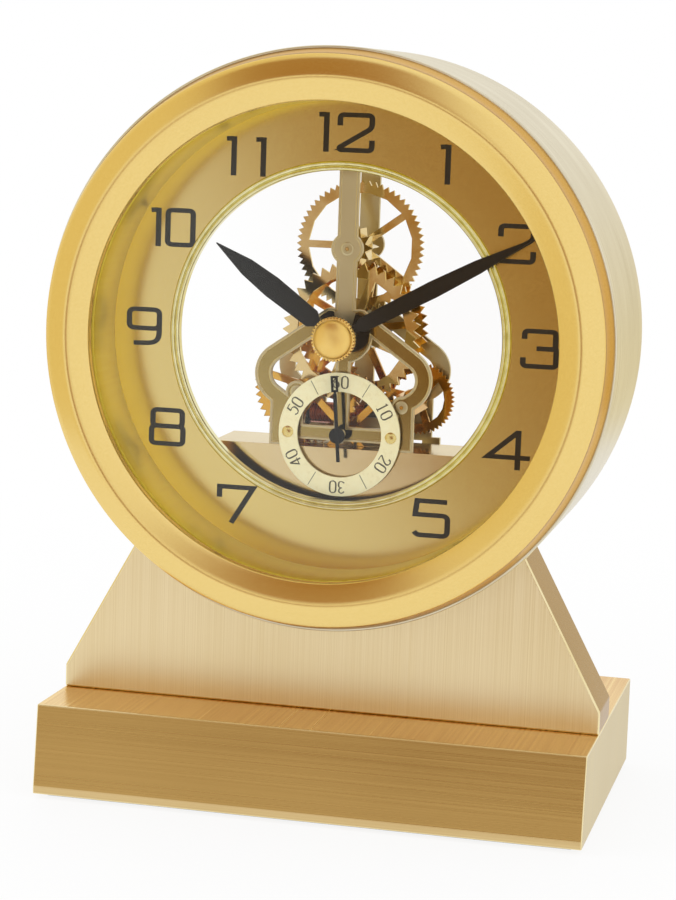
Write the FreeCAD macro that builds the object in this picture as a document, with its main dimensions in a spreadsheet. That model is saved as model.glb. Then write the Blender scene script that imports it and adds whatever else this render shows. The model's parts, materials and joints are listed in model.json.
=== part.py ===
import FreeCAD, Part
import math
import os
import Sketcher

# Skeleton mantel clock, in millimetres. X is to the right, Y to the back and Z up; the origin is on the
# surface the clock stands on, under the middle of the plinth. The case and the movement lie along one
# axis, parallel to Y. Places along it are depths, counted backwards from the bezel's outer front edge,
# and places across it are counted from that axis.

doc = FreeCAD.newDocument("skeleton_clock")
sheet = doc.addObject("Spreadsheet::Sheet", "Sizes")


class Size:
    """A number and the spreadsheet expression that gives it, so that a feature can be bound to it."""

    def __init__(self, value, text):
        self.value = value
        self.text = text

    def __add__(self, other):
        other = as_size(other)
        return Size(self.value + other.value, f"({self.text} + {other.text})")

    def __sub__(self, other):
        other = as_size(other)
        return Size(self.value - other.value, f"({self.text} - {other.text})")

    def __mul__(self, other):
        other = as_size(other)
        return Size(self.value * other.value, f"({self.text} * {other.text})")

    def __truediv__(self, other):
        other = as_size(other)
        return Size(self.value / other.value, f"({self.text} / {other.text})")

    def __neg__(self):
        return Size(-self.value, f"(-1 * {self.text})")

    def __rsub__(self, other):
        return as_size(other) - self

    __radd__ = __add__
    __rmul__ = __mul__


def as_size(number):
    if isinstance(number, Size):
        return number
    return Size(float(number), repr(float(number)))


aliases = []


def size(alias, value):
    """Put one driving dimension in the next row of the sheet, and return it as a Size."""
    aliases.append(alias)
    row = len(aliases)
    sheet.set(f"A{row}", alias)
    sheet.set(f"B{row}", str(value))
    sheet.setAlias(f"B{row}", alias)
    return Size(float(value), f"Sizes.{alias}")


# Plinth and stand plate
plinth_width = size("plinth_width", 151)
plinth_depth = size("plinth_depth", 94.5)
plinth_height = size("plinth_height", 24.5)
plinth_land = size("plinth_land", 2.3)
plinth_batter = size("plinth_batter", 2.5)
felt_thickness = size("felt_thickness", 1)
felt_inset = size("felt_inset", 3)
stand_thickness = size("stand_thickness", 20)
stand_setback = size("stand_setback", 24.9)
stand_shoulder = size("stand_shoulder", 6.2)
stand_slope_run = size("stand_slope_run", 29.3)
stand_slope_rise = size("stand_slope_rise", 53.8)
stand_corner_radius = size("stand_corner_radius", 1.5)
saddle_gap = size("saddle_gap", 0.1)

# Case
axis_above_plinth = size("axis_above_plinth", 102.8)
bezel_edge_setback = size("bezel_edge_setback", 2.5)
case_radius = size("case_radius", 77.2)
case_wall = size("case_wall", 2)
case_start = size("case_start", 6.3)
case_end = size("case_end", 60.5)
fit_gap = size("fit_gap", 0.1)
bezel_gap = size("bezel_gap", 0.2)
bezel_outer_slope = size("bezel_outer_slope", 6)
bezel_inner_slope = size("bezel_inner_slope", 6)
bezel_crest_rise = size("bezel_crest_rise", 2.1)
bezel_lip_rise = size("bezel_lip_rise", 0.2)
glass_depth = size("glass_depth", 3.5)
glass_thickness = size("glass_thickness", 2)
dial_depth = size("dial_depth", 22.5)
dial_thickness = size("dial_thickness", 2)
dial_face_width = size("dial_face_width", 18.4)

# Movement frame
front_plate_depth = size("front_plate_depth", 29)
plate_thickness = size("plate_thickness", 1.5)
rear_plate_depth = size("rear_plate_depth", 55)
bar_width = size("bar_width", 5.5)
bar_overlap = size("bar_overlap", 12.4)
hub_radius = size("hub_radius", 7.7)
boss_radius = size("boss_radius", 4.4)
arm_width = size("arm_width", 4.6)
arm_root_x = size("arm_root_x", 4)
arm_root_rise = size("arm_root_rise", 5)
arm_corner_x = size("arm_corner_x", 27.2)
arm_corner_drop = size("arm_corner_drop", 11.4)
arm_elbow_radius = size("arm_elbow_radius", 6.5)
arm_end_radius = size("arm_end_radius", 3)
strut_width = size("strut_width", 4)
leg_x = size("leg_x", 17.6)
leg_width = size("leg_width", 5)
pillar_radius = size("pillar_radius", 2.6)
pillar_inset = size("pillar_inset", 4.5)
spacer_x = size("spacer_x", 20)
spacer_drop = size("spacer_drop", 36)
pivot_radius = size("pivot_radius", 0.5)
running_gap = size("running_gap", 0.05)

# Places of the arbors, seen from the front
upper_rise = size("upper_rise", 23.4)
seconds_drop = size("seconds_drop", 27)
third_x = size("third_x", -12.8)
third_drop = size("third_drop", 16.2)
step_x = size("step_x", 16.6)
step_drop = size("step_drop", 18.8)
rotor_x = size("rotor_x", 9.2)
rotor_drop = size("rotor_drop", 27.68)

# Housing, battery and motor
ledge_drop = size("ledge_drop", 31)
housing_width = size("housing_width", 72)
housing_clearance = size("housing_clearance", 5.2)
housing_end = size("housing_end", 49.5)
housing_skin = size("housing_skin", 4.5)
lug_width = size("lug_width", 8)
lug_height = size("lug_height", 9)
lug_drop = size("lug_drop", 49)
slot_gap = size("slot_gap", 0.5)
battery_radius = size("battery_radius", 7.25)
battery_length = size("battery_length", 50.5)
battery_drop = size("battery_drop", 52.6)
battery_play = size("battery_play", 0.8)
contact_room = size("contact_room", 2.1)
contact_thickness = size("contact_thickness", 0.5)
door_overlap = size("door_overlap", 1)
door_thickness = size("door_thickness", 1.4)
door_ridge_pitch = size("door_ridge_pitch", 2.2)
door_ridge_height = size("door_ridge_height", 0.5)
rail_width = size("rail_width", 1.6)
coil_radius = size("coil_radius", 3)
coil_flange_width = size("coil_flange_width", 6.4)
coil_start_x = size("coil_start_x", -14.5)
coil_end_x = size("coil_end_x", 3)
coil_drop = size("coil_drop", 24.2)
flange_thickness = size("flange_thickness", 0.8)
core_height = size("core_height", 3)
return_height = size("return_height", 2.4)
stator_depth = size("stator_depth", 49.8)
stator_thickness = size("stator_thickness", 1.4)
pole_width = size("pole_width", 10.4)
stator_left_x = size("stator_left_x", -19.5)
magnet_radius = size("magnet_radius", 3)
magnet_start = size("magnet_start", 48.7)
magnet_end = size("magnet_end", 51.2)
air_gap = size("air_gap", 0.4)
cock_depth = size("cock_depth", 44.6)
cock_thickness = size("cock_thickness", 1.4)
cock_margin = size("cock_margin", 2.8)
cock_foot_end = size("cock_foot_end", 48.2)

# Wheels
wheel_thickness = size("wheel_thickness", 1.2)
fine_wheel_thickness = size("fine_wheel_thickness", 1)
rim_width = size("rim_width", 2)
spoke_width = size("spoke_width", 2)
wheel_hub_radius = size("wheel_hub_radius", 3.4)
cannon_teeth = size("cannon_teeth", 20)
minute_wheel_teeth = size("minute_wheel_teeth", 60)
minute_pinion_teeth = size("minute_pinion_teeth", 10)
hour_wheel_teeth = size("hour_wheel_teeth", 40)
seconds_pinion_teeth = size("seconds_pinion_teeth", 6)
third_wheel_teeth = size("third_wheel_teeth", 45)
third_pinion_teeth = size("third_pinion_teeth", 6)
centre_wheel_teeth = size("centre_wheel_teeth", 48)
step_pinion_teeth = size("step_pinion_teeth", 8)
seconds_wheel_teeth = size("seconds_wheel_teeth", 40)
rotor_pinion_teeth = size("rotor_pinion_teeth", 8)
step_wheel_teeth = size("step_wheel_teeth", 48)
minute_wheel_depth = size("minute_wheel_depth", 44.6)
hour_wheel_depth = size("hour_wheel_depth", 37.4)
third_wheel_depth = size("third_wheel_depth", 41.6)
centre_wheel_depth = size("centre_wheel_depth", 50)
seconds_wheel_depth = size("seconds_wheel_depth", 35.2)
step_wheel_depth = size("step_wheel_depth", 52)
pinion_overhang = size("pinion_overhang", 0.8)
minute_arbor_radius = size("minute_arbor_radius", 1.6)
square_width = size("square_width", 2.2)
square_gap = size("square_gap", 0.02)
collar_radius = size("collar_radius", 2.8)
collar_length = size("collar_length", 2)
hour_pipe_radius = size("hour_pipe_radius", 2.5)
washer_radius = size("washer_radius", 4.2)
washer_thickness = size("washer_thickness", 0.6)
end_shake = size("end_shake", 0.3)

# Hands, seconds ring and knob
hand_thickness = size("hand_thickness", 0.6)
hand_neck_width = size("hand_neck_width", 2.2)
hand_shoulder = size("hand_shoulder", 8.4)
minute_hand_depth = size("minute_hand_depth", 18)
minute_hand_length = size("minute_hand_length", 60)
minute_hand_width = size("minute_hand_width", 4.6)
minute_hand_angle = size("minute_hand_angle", 61)
minute_hub_radius = size("minute_hub_radius", 4.2)
hour_hand_depth = size("hour_hand_depth", 19.8)
hour_hand_length = size("hour_hand_length", 41.7)
hour_hand_width = size("hour_hand_width", 6)
hour_hand_angle = size("hour_hand_angle", 305.08)
hour_hub_radius = size("hour_hub_radius", 5.3)
hour_hub_height = size("hour_hub_height", 1.4)
nut_radius = size("nut_radius", 6)
nut_crown_radius = size("nut_crown_radius", 3.2)
nut_height = size("nut_height", 4.4)
nut_rim_height = size("nut_rim_height", 1.8)
nut_ridges = size("nut_ridges", 24)
nut_ridge_depth = size("nut_ridge_depth", 0.5)
seconds_hand_depth = size("seconds_hand_depth", 24.5)
seconds_hand_length = size("seconds_hand_length", 16.3)
seconds_hand_tail = size("seconds_hand_tail", 7.2)
seconds_hand_angle = size("seconds_hand_angle", 355.2)
seconds_hand_bar = size("seconds_hand_bar", 0.6)
seconds_hand_hub = size("seconds_hand_hub", 2.2)
seconds_frame_width = size("seconds_frame_width", 1.9)
seconds_frame_length = size("seconds_frame_length", 4.4)
seconds_ring_depth = size("seconds_ring_depth", 27)
seconds_ring_thickness = size("seconds_ring_thickness", 0.8)
seconds_ring_radius = size("seconds_ring_radius", 17)
seconds_ring_bore = size("seconds_ring_bore", 11.75)
ring_post_radius = size("ring_post_radius", 1.7)
knob_depth = size("knob_depth", 57.6)
knob_height = size("knob_height", 5)
knob_radius = size("knob_radius", 6.5)
knob_ridges = size("knob_ridges", 18)
knob_ridge_depth = size("knob_ridge_depth", 0.6)

plinth_top = felt_thickness + plinth_height
axis_height = plinth_top + axis_above_plinth
front_edge_y = bezel_edge_setback - plinth_depth / 2
stand_front_y = stand_setback - plinth_depth / 2
case_inner_radius = case_radius - case_wall
case_fit_radius = case_inner_radius - fit_gap
housing_radius = case_inner_radius - housing_clearance
bezel_edge_radius = case_inner_radius - bezel_gap
bezel_crest_radius = bezel_edge_radius - bezel_outer_slope
bezel_bore_radius = bezel_crest_radius - bezel_inner_slope
dial_opening_radius = bezel_bore_radius - dial_face_width
bar_top = dial_opening_radius + bar_overlap
dial_back = dial_depth + dial_thickness
front_plate_back = front_plate_depth + plate_thickness
rear_plate_back = rear_plate_depth + plate_thickness
pillar_rise = bar_top - pillar_inset
battery_depth = housing_end - battery_radius - battery_play
bay_half_x = battery_length / 2 + contact_room
bay_half_z = battery_radius + battery_play
stator_middle = stator_depth + stator_thickness / 2
ring_middle = (seconds_ring_radius + seconds_ring_bore) / 2
square_start = minute_hand_depth - nut_rim_height
square_end = hour_hand_depth - end_shake
knob_square_start = knob_depth - end_shake

BACKWARDS = FreeCAD.Vector(0, 1, 0)
ORIGIN = FreeCAD.Vector(0, 0, 0)

# Small round work gets flat sides, so that its mesh stays small.
PIVOT_SIDES = 12
MAGNET_SIDES = 20
COIL_SIDES = 16
RING_SIDES = 48


# ---------------------------------------------------------------- building blocks

def bind(thing, name, length):
    thing.setExpression(name, as_size(length).text)


def place(thing, across, depth, rise):
    """Put an object across from the case's axis, behind the bezel's edge and above the axis."""
    bind(thing, "Placement.Base.x", across)
    bind(thing, "Placement.Base.y", front_edge_y + depth)
    bind(thing, "Placement.Base.z", axis_height + rise)


def labelled(thing, label):
    thing.Label = label
    return thing


def box(name, sides, depths, heights):
    """A Part box between two sides, two depths and two heights."""
    left, right = sides
    front, back = depths
    low, high = heights
    solid = doc.addObject("Part::Box", name)
    bind(solid, "Length", as_size(right) - left)
    bind(solid, "Width", as_size(back) - front)
    bind(solid, "Height", as_size(high) - low)
    place(solid, left, front, low)
    return solid


def upright(solid, depths, across, rise):
    """Turn a primitive that stands on Z to run backwards, and set its length from two depths."""
    front, back = depths
    solid.Placement = FreeCAD.Placement(ORIGIN, FreeCAD.Rotation(FreeCAD.Vector(1, 0, 0), -90))
    bind(solid, "Height", as_size(back) - front)
    place(solid, across, front, rise)
    return solid


def cylinder(name, radius, depths, across=0, rise=0):
    solid = doc.addObject("Part::Cylinder", name)
    bind(solid, "Radius", radius)
    return upright(solid, depths, across, rise)


def prism(name, sides, radius, depths, across=0, rise=0):
    solid = doc.addObject("Part::Prism", name)
    solid.Polygon = sides
    bind(solid, "Circumradius", radius)
    return upright(solid, depths, across, rise)


def fuse(label, solids):
    whole = doc.addObject("Part::MultiFuse", label)
    whole.Shapes = solids
    whole.Refine = True
    return labelled(whole, label)


def cut(label, base, tools):
    tool = tools[0] if len(tools) == 1 else fuse(label + "_tools", tools)
    rest = doc.addObject("Part::Cut", label)
    rest.Base = base
    rest.Tool = tool
    rest.Refine = True
    return labelled(rest, label)


def group(label, solids):
    """Several separate solids that share one node."""
    whole = doc.addObject("Part::Compound", label)
    whole.Links = solids
    return labelled(whole, label)


def add_body(label):
    return labelled(doc.addObject("PartDesign::Body", label), label)


def add_sketch(body, name, role):
    plane = [feature for feature in body.Origin.OriginFeatures if feature.Role == role][0]
    sketch = body.newObject("Sketcher::SketchObject", name)
    sketch.AttachmentSupport = (plane, [""])
    sketch.MapMode = "FlatFace"
    return sketch


def hold_point(sketch, geometry, point, across, up):
    for kind, length in (("DistanceX", across), ("DistanceY", up)):
        number = sketch.addConstraint(Sketcher.Constraint(kind, -1, 1, geometry, point, length.value))
        bind(sketch, f"Constraints[{number}]", length)


def draw_corners(sketch, corners):
    """Draw one closed outline of straight sides, each corner held at two sheet sizes."""
    corners = [(as_size(across), as_size(up)) for across, up in corners]
    first = sketch.GeometryCount
    count = len(corners)
    for index in range(count):
        start_across, start_up = corners[index]
        end_across, end_up = corners[(index + 1) % count]
        start = FreeCAD.Vector(start_across.value, start_up.value, 0)
        end = FreeCAD.Vector(end_across.value, end_up.value, 0)
        sketch.addGeometry(Part.LineSegment(start, end), False)
    for index in range(count):
        following = first + (index + 1) % count
        sketch.addConstraint(Sketcher.Constraint("Coincident", first + index, 2, following, 1))
    for index, (across, up) in enumerate(corners):
        hold_point(sketch, first + index, 1, across, up)


def draw_circle(sketch, radius, across, up):
    centre = FreeCAD.Vector(across.value, up.value, 0)
    circle = Part.Circle(centre, FreeCAD.Vector(0, 0, 1), radius.value)
    number = sketch.addGeometry(circle, False)
    hold_point(sketch, number, 3, across, up)
    constraint = sketch.addConstraint(Sketcher.Constraint("Radius", number, radius.value))
    bind(sketch, f"Constraints[{constraint}]", radius)


def turned(label, corners):
    """A body turned about the case's axis: its corners are pairs of a radius and a depth."""
    body = add_body(label)
    place(body, 0, 0, 0)
    sketch = add_sketch(body, label + "_profile", "XY_Plane")
    draw_corners(sketch, corners)
    revolution = body.newObject("PartDesign::Revolution", label + "_revolution")
    revolution.Profile = sketch
    revolution.ReferenceAxis = (sketch, ["V_Axis"])
    revolution.Angle = 360
    body.Tip = revolution
    return body


def pad(body, sketch, thickness):
    feature = body.newObject("PartDesign::Pad", sketch.Name + "_pad")
    feature.Profile = sketch
    feature.Reversed = True
    bind(feature, "Length", thickness)
    body.Tip = feature
    return feature


def made_by_code(label, shape, depth=0, across=0, rise=0):
    """A Part::Feature, for a form that no sketch or primitive makes simply, such as a row of teeth."""
    feature = doc.addObject("Part::Feature", label)
    feature.Shape = shape
    place(feature, across, depth, rise)
    return labelled(feature, label)


def polar(radius, angle):
    """A point at an angle counted clockwise from the top, as on a dial."""
    return FreeCAD.Vector(radius * math.sin(angle), 0, radius * math.cos(angle))


def closed_wire(points):
    return Part.makePolygon(points + [points[0]])


def flat_prism(outline, holes, depths):
    """A plate with straight walls between two depths, from an outline and the outlines of its holes."""
    front, back = depths
    face = Part.makeFace([outline] + holes, "Part::FaceMakerBullseye")
    face.translate(FreeCAD.Vector(0, front, 0))
    return face.extrude(FreeCAD.Vector(0, back - front, 0))


def rod(radius, depths, across=0.0, rise=0.0):
    front, back = depths
    return Part.makeCylinder(radius, back - front, FreeCAD.Vector(across, front, rise), BACKWARDS)


def circle_wire(radius, across=0.0, rise=0.0):
    return Part.Wire(Part.makeCircle(radius, FreeCAD.Vector(across, 0, rise), BACKWARDS))


def square_wire(width):
    half = width / 2
    return closed_wire([FreeCAD.Vector(x, 0, z) for x, z in
                        ((-half, -half), (half, -half), (half, half), (-half, half))])


def polygon_points(radius, sides):
    return [polar(radius, 2 * math.pi * number / sides) for number in range(sides)]


def polygon_wire(radius, sides):
    return closed_wire(polygon_points(radius, sides))


def frustum(front_radius, back_radius, sides, length):
    """A flat-sided cone with its tip cut off, which widens towards the back."""
    front = polygon_points(front_radius, sides)
    back = [point + BACKWARDS * length for point in polygon_points(back_radius, sides)]
    faces = [Part.Face(closed_wire(front)), Part.Face(closed_wire(back))]
    for number in range(sides):
        following = (number + 1) % sides
        corners = [front[number], front[following], back[following], back[number]]
        faces.append(Part.Face(closed_wire(corners)))
    return Part.Solid(Part.Shell(faces))


def zigzag_wire(peak_radius, valley_radius, peaks, first_peak=0.0):
    """A ring of points: each peak at one radius, each valley halfway to the next at another."""
    points = []
    step = math.pi / peaks
    for number in range(int(peaks)):
        middle = first_peak + 2 * number * step
        points.append(polar(peak_radius, middle))
        points.append(polar(valley_radius, middle + step))
    return closed_wire(points)


# ---------------------------------------------------------------- teeth

ADDENDUM = 0.85
DEDENDUM = 1.35
RIM_CHORD_ANGLE = math.radians(23)


def window_wires(rim_radius, hub_radius, spokes, first_spoke):
    """Outlines of the windows between a wheel's spokes, each rim side in a few short chords."""
    half_width = spoke_width.value / 2
    pitch = 2 * math.pi / spokes
    rim_margin = math.asin(half_width / rim_radius)
    hub_margin = math.asin(half_width / hub_radius)
    wires = []
    for number in range(spokes):
        start = first_spoke + number * pitch
        sweep = pitch - 2 * rim_margin
        chords = round(sweep / RIM_CHORD_ANGLE)
        points = [polar(rim_radius, start + rim_margin + sweep * step / chords)
                  for step in range(chords + 1)]
        points.append(polar(hub_radius, start + pitch - hub_margin))
        points.append(polar(hub_radius, start + hub_margin))
        wires.append(closed_wire(points))
    return wires


class Mesh:
    """A wheel and the pinion it meshes with: their module, and the angles at which teeth meet gaps."""

    def __init__(self, wheel_teeth, pinion_teeth, wheel_place, pinion_place):
        self.wheel_teeth = wheel_teeth.value
        self.pinion_teeth = pinion_teeth.value
        across = pinion_place[0] - wheel_place[0]
        rise = pinion_place[1] - wheel_place[1]
        self.module = 2 * math.hypot(across, rise) / (self.wheel_teeth + self.pinion_teeth)
        self.wheel_tooth = math.atan2(across, rise)
        self.pinion_tooth = math.atan2(-across, -rise) + math.pi / self.pinion_teeth

    def teeth_wire(self, teeth, first_tooth):
        tip_radius = self.module * (teeth / 2 + ADDENDUM)
        root_radius = self.module * (teeth / 2 - DEDENDUM)
        return zigzag_wire(tip_radius, root_radius, teeth, first_tooth)

    def wheel_tip_radius(self):
        return self.module * (self.wheel_teeth / 2 + ADDENDUM)

    def wheel(self, depths, spokes, first_spoke, bore=0.0):
        outline = self.teeth_wire(self.wheel_teeth, self.wheel_tooth)
        rim_radius = self.module * (self.wheel_teeth / 2 - DEDENDUM) - rim_width.value
        holes = window_wires(rim_radius, wheel_hub_radius.value, spokes, math.radians(first_spoke))
        if bore > 0:
            holes.append(circle_wire(bore))
        return flat_prism(outline, holes, depths)

    def pinion(self, depths):
        return flat_prism(self.teeth_wire(self.pinion_teeth, self.pinion_tooth), [], depths)


CENTRE = (0.0, 0.0)
UPPER = (0.0, upper_rise.value)
SECONDS = (0.0, -seconds_drop.value)
THIRD = (third_x.value, -third_drop.value)
STEP = (step_x.value, -step_drop.value)
ROTOR = (rotor_x.value, -rotor_drop.value)

minute_mesh = Mesh(minute_wheel_teeth, cannon_teeth, UPPER, CENTRE)
hour_mesh = Mesh(hour_wheel_teeth, minute_pinion_teeth, CENTRE, UPPER)
third_mesh = Mesh(third_wheel_teeth, seconds_pinion_teeth, THIRD, SECONDS)
centre_mesh = Mesh(centre_wheel_teeth, third_pinion_teeth, CENTRE, THIRD)
seconds_mesh = Mesh(seconds_wheel_teeth, step_pinion_teeth, SECONDS, STEP)
step_mesh = Mesh(step_wheel_teeth, rotor_pinion_teeth, STEP, ROTOR)


# ---------------------------------------------------------------- plinth and stand

def make_plinth():
    """A solid block whose front leans back above a narrow upright land."""
    body = add_body("plinth")
    bind(body, "Placement.Base.z", felt_thickness)
    sketch = add_sketch(body, "plinth_side", "YZ_Plane")
    front = -plinth_depth / 2
    draw_corners(sketch, [
        (front, 0),
        (plinth_depth / 2, 0),
        (plinth_depth / 2, plinth_height),
        (front + plinth_batter, plinth_height),
        (front, plinth_land),
    ])
    block = body.newObject("PartDesign::Pad", "plinth_block")
    block.Profile = sketch
    block.Midplane = True
    bind(block, "Length", plinth_width)
    body.Tip = block
    return body


def make_felt():
    """The pad glued under the plinth, a little smaller than it."""
    felt = labelled(doc.addObject("Part::Box", "felt_pad"), "felt_pad")
    bind(felt, "Length", plinth_width - felt_inset * 2)
    bind(felt, "Width", plinth_depth - felt_inset * 2)
    bind(felt, "Height", felt_thickness)
    bind(felt, "Placement.Base.x", felt_inset - plinth_width / 2)
    bind(felt, "Placement.Base.y", felt_inset - plinth_depth / 2)
    return felt


def edges_along_y(shape, side, height):
    """Names of the edges that run along Y at one height, at either side."""
    names = []
    for number, edge in enumerate(shape.Edges, 1):
        ends = [vertex.Point for vertex in edge.Vertexes]
        at_side = all(abs(abs(end.x) - side) < 1e-4 for end in ends)
        at_height = all(abs(end.z - height) < 1e-4 for end in ends)
        if at_side and at_height and abs(ends[0].x - ends[-1].x) < 1e-4:
            names.append(f"Edge{number}")
    return names


def make_stand():
    """The thick sloping plate whose round saddle carries the case."""
    body = add_body("stand_plate")
    bind(body, "Placement.Base.y", stand_front_y)
    bind(body, "Placement.Base.z", plinth_top)
    half = plinth_width / 2
    top = stand_shoulder + stand_slope_rise
    sketch = add_sketch(body, "stand_outline", "XZ_Plane")
    draw_corners(sketch, [
        (-half, 0),
        (half, 0),
        (half, stand_shoulder),
        (half - stand_slope_run, top),
        (stand_slope_run - half, top),
        (-half, stand_shoulder),
    ])
    block = pad(body, sketch, stand_thickness)
    doc.recompute()
    softened = body.newObject("PartDesign::Fillet", "stand_corner_fillet")
    softened.Base = (block, edges_along_y(block.Shape, half.value, stand_shoulder.value))
    bind(softened, "Radius", stand_corner_radius)
    body.Tip = softened
    saddle = add_sketch(body, "stand_saddle", "XZ_Plane")
    draw_circle(saddle, case_radius + saddle_gap, as_size(0), axis_above_plinth)
    hollow = body.newObject("PartDesign::Pocket", "stand_saddle_cut")
    hollow.Profile = saddle
    hollow.Type = "ThroughAll"
    hollow.Midplane = True
    body.Tip = hollow
    return body


# ---------------------------------------------------------------- case

def make_case_band():
    return turned("case_band", [
        (case_inner_radius, case_start),
        (case_radius, case_start),
        (case_radius, case_end),
        (case_inner_radius, case_end),
    ])


def make_bezel():
    """A front ring with a raised crest between two sloping faces, deep enough to press on the dial."""
    return turned("bezel", [
        (bezel_bore_radius, -bezel_lip_rise),
        (bezel_crest_radius, -bezel_crest_rise),
        (bezel_edge_radius, 0),
        (bezel_edge_radius, dial_depth),
        (bezel_bore_radius, dial_depth),
    ])


def make_glass():
    glass_radius = bezel_bore_radius - fit_gap
    return turned("front_glass", [
        (0, glass_depth),
        (glass_radius, glass_depth),
        (glass_radius, glass_depth + glass_thickness),
        (0, glass_depth + glass_thickness),
    ])


def make_dial():
    """The brushed hour ring; the movement hangs on its back."""
    return turned("dial_ring", [
        (dial_opening_radius, dial_depth),
        (case_fit_radius, dial_depth),
        (case_fit_radius, dial_back),
        (dial_opening_radius, dial_back),
    ])


# ---------------------------------------------------------------- movement frame

def arm(name, side, depths):
    """A curved strip from the hub out round an elbow and back in to a heel, of one width all along."""
    front, back = depths
    root = FreeCAD.Vector(side * arm_root_x.value, front, arm_root_rise.value)
    corner = FreeCAD.Vector(side * arm_corner_x.value, front, -arm_corner_drop.value)
    heel = FreeCAD.Vector(side * step_x.value, front, -step_drop.value)
    inward = (root - corner).normalize()
    onward = (heel - corner).normalize()
    half_turn = inward.getAngle(onward) / 2
    reach = arm_elbow_radius.value / math.tan(half_turn)
    start = corner + inward * reach
    end = corner + onward * reach
    bisector = (inward + onward).normalize()
    middle_reach = arm_elbow_radius.value / math.sin(half_turn) - arm_elbow_radius.value
    middle = corner + bisector * middle_reach
    path = Part.Wire([
        Part.makeLine(root, start),
        Part.Arc(start, middle, end).toShape(),
        Part.makeLine(end, heel),
    ])
    outline = path.makeOffset2D(arm_width.value / 2, 2, False, False)
    strip = Part.Face(outline).extrude(FreeCAD.Vector(0, back - front, 0))
    return made_by_code(name, strip)


def plate_solids(name, depths):
    """What both movement plates share: tall bar, upper boss, crosspiece, curved arms and legs."""
    half_bar = bar_width / 2
    half_strut = strut_width / 2
    solids = [
        box(name + "_bar", (-half_bar, half_bar), depths, (0, bar_top)),
        cylinder(name + "_upper_boss", boss_radius, depths, 0, upper_rise),
        box(name + "_crosspiece", (-leg_x, leg_x), depths, (-seconds_drop - half_strut,
                                                            half_strut - seconds_drop)),
        cylinder(name + "_third_boss", arm_end_radius, depths, third_x, -third_drop),
        cylinder(name + "_step_boss", arm_end_radius, depths, step_x, -step_drop),
        box(name + "_third_strut", (third_x - half_strut, third_x + half_strut), depths,
            (-seconds_drop, -third_drop)),
    ]
    plain_depths = (depths[0].value, depths[1].value)
    for side, word in ((-1, "left"), (1, "right")):
        solids.append(arm(f"{name}_{word}_arm", side, plain_depths))
        middle = side * leg_x
        solids.append(box(f"{name}_{word}_leg", (middle - leg_width / 2, middle + leg_width / 2), depths,
                          (-ledge_drop, -step_drop)))
    return solids


def pivot_hole(name, depths, across, rise):
    """A hole with as many sides as its pivot, wide enough for the pivot's corners to pass its flats."""
    corner_radius = (pivot_radius + running_gap) / math.cos(math.pi / PIVOT_SIDES)
    return prism(name, PIVOT_SIDES, corner_radius, depths, across, rise)


def make_front_plate():
    """The polished front plate: bar, hub, two curved arms, and a crosspiece for the seconds ring."""
    depths = (front_plate_depth, front_plate_back)
    half_strut = strut_width / 2
    solids = plate_solids("front", depths)
    solids.append(cylinder("front_hub", hub_radius, depths))
    solids.append(box("front_strut", (-half_strut, half_strut), depths, (-seconds_drop, 0)))
    return cut("front_plate", fuse("front_plate_blank", solids), [
        pivot_hole("front_upper_hole", depths, 0, upper_rise),
        pivot_hole("front_third_hole", depths, third_x, -third_drop),
        pivot_hole("front_step_hole", depths, step_x, -step_drop),
        pivot_hole("front_seconds_hole", depths, 0, -seconds_drop),
        cylinder("front_pipe_hole", hour_pipe_radius + running_gap, depths),
    ])


def make_rear_plate():
    """The rear plate, whose legs come down on two spacers behind the housing."""
    depths = (rear_plate_depth, rear_plate_back)
    solids = plate_solids("rear", depths)
    solids.append(box("rear_tail", (-bar_width / 2, bar_width / 2), depths, (-seconds_drop, 0)))
    for side, word in ((-1, "left"), (1, "right")):
        middle = side * spacer_x
        solids.append(box(f"rear_{word}_foot", (middle - leg_width / 2, middle + leg_width / 2), depths,
                          (-spacer_drop - leg_width / 2, 1 - ledge_drop)))
    return cut("rear_plate", fuse("rear_plate_blank", solids), [
        pivot_hole("rear_upper_hole", depths, 0, upper_rise),
        pivot_hole("rear_third_hole", depths, third_x, -third_drop),
        pivot_hole("rear_step_hole", depths, step_x, -step_drop),
        pivot_hole("rear_rotor_hole", depths, rotor_x, -rotor_drop),
        cylinder("rear_arbor_hole", minute_arbor_radius + running_gap, depths),
    ])


def make_pillars():
    """Hexagonal pillars at the top: one holds the front plate off the dial, one joins the two plates."""
    standoff = prism("dial_standoff", 6, pillar_radius, (dial_back, front_plate_depth), 0, pillar_rise)
    pillar = prism("top_pillar", 6, pillar_radius, (front_plate_back, rear_plate_depth), 0, pillar_rise)
    return [standoff, pillar]


def make_spacers():
    depths = (housing_end, rear_plate_depth)
    return group("rear_spacers", [
        prism("left_spacer", 6, pillar_radius, depths, -spacer_x, -spacer_drop),
        prism("right_spacer", 6, pillar_radius, depths, spacer_x, -spacer_drop),
    ])


# ---------------------------------------------------------------- housing, battery and motor

def wheel_slot(name, mesh, first_depth, across, rise):
    """The slot that a wheel dips into: as wide as its tips need, with room at both faces."""
    radius = as_size(mesh.wheel_tip_radius()) + slot_gap
    depths = (first_depth - slot_gap, first_depth + fine_wheel_thickness + slot_gap)
    return cylinder(name, radius, depths, across, rise)


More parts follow.
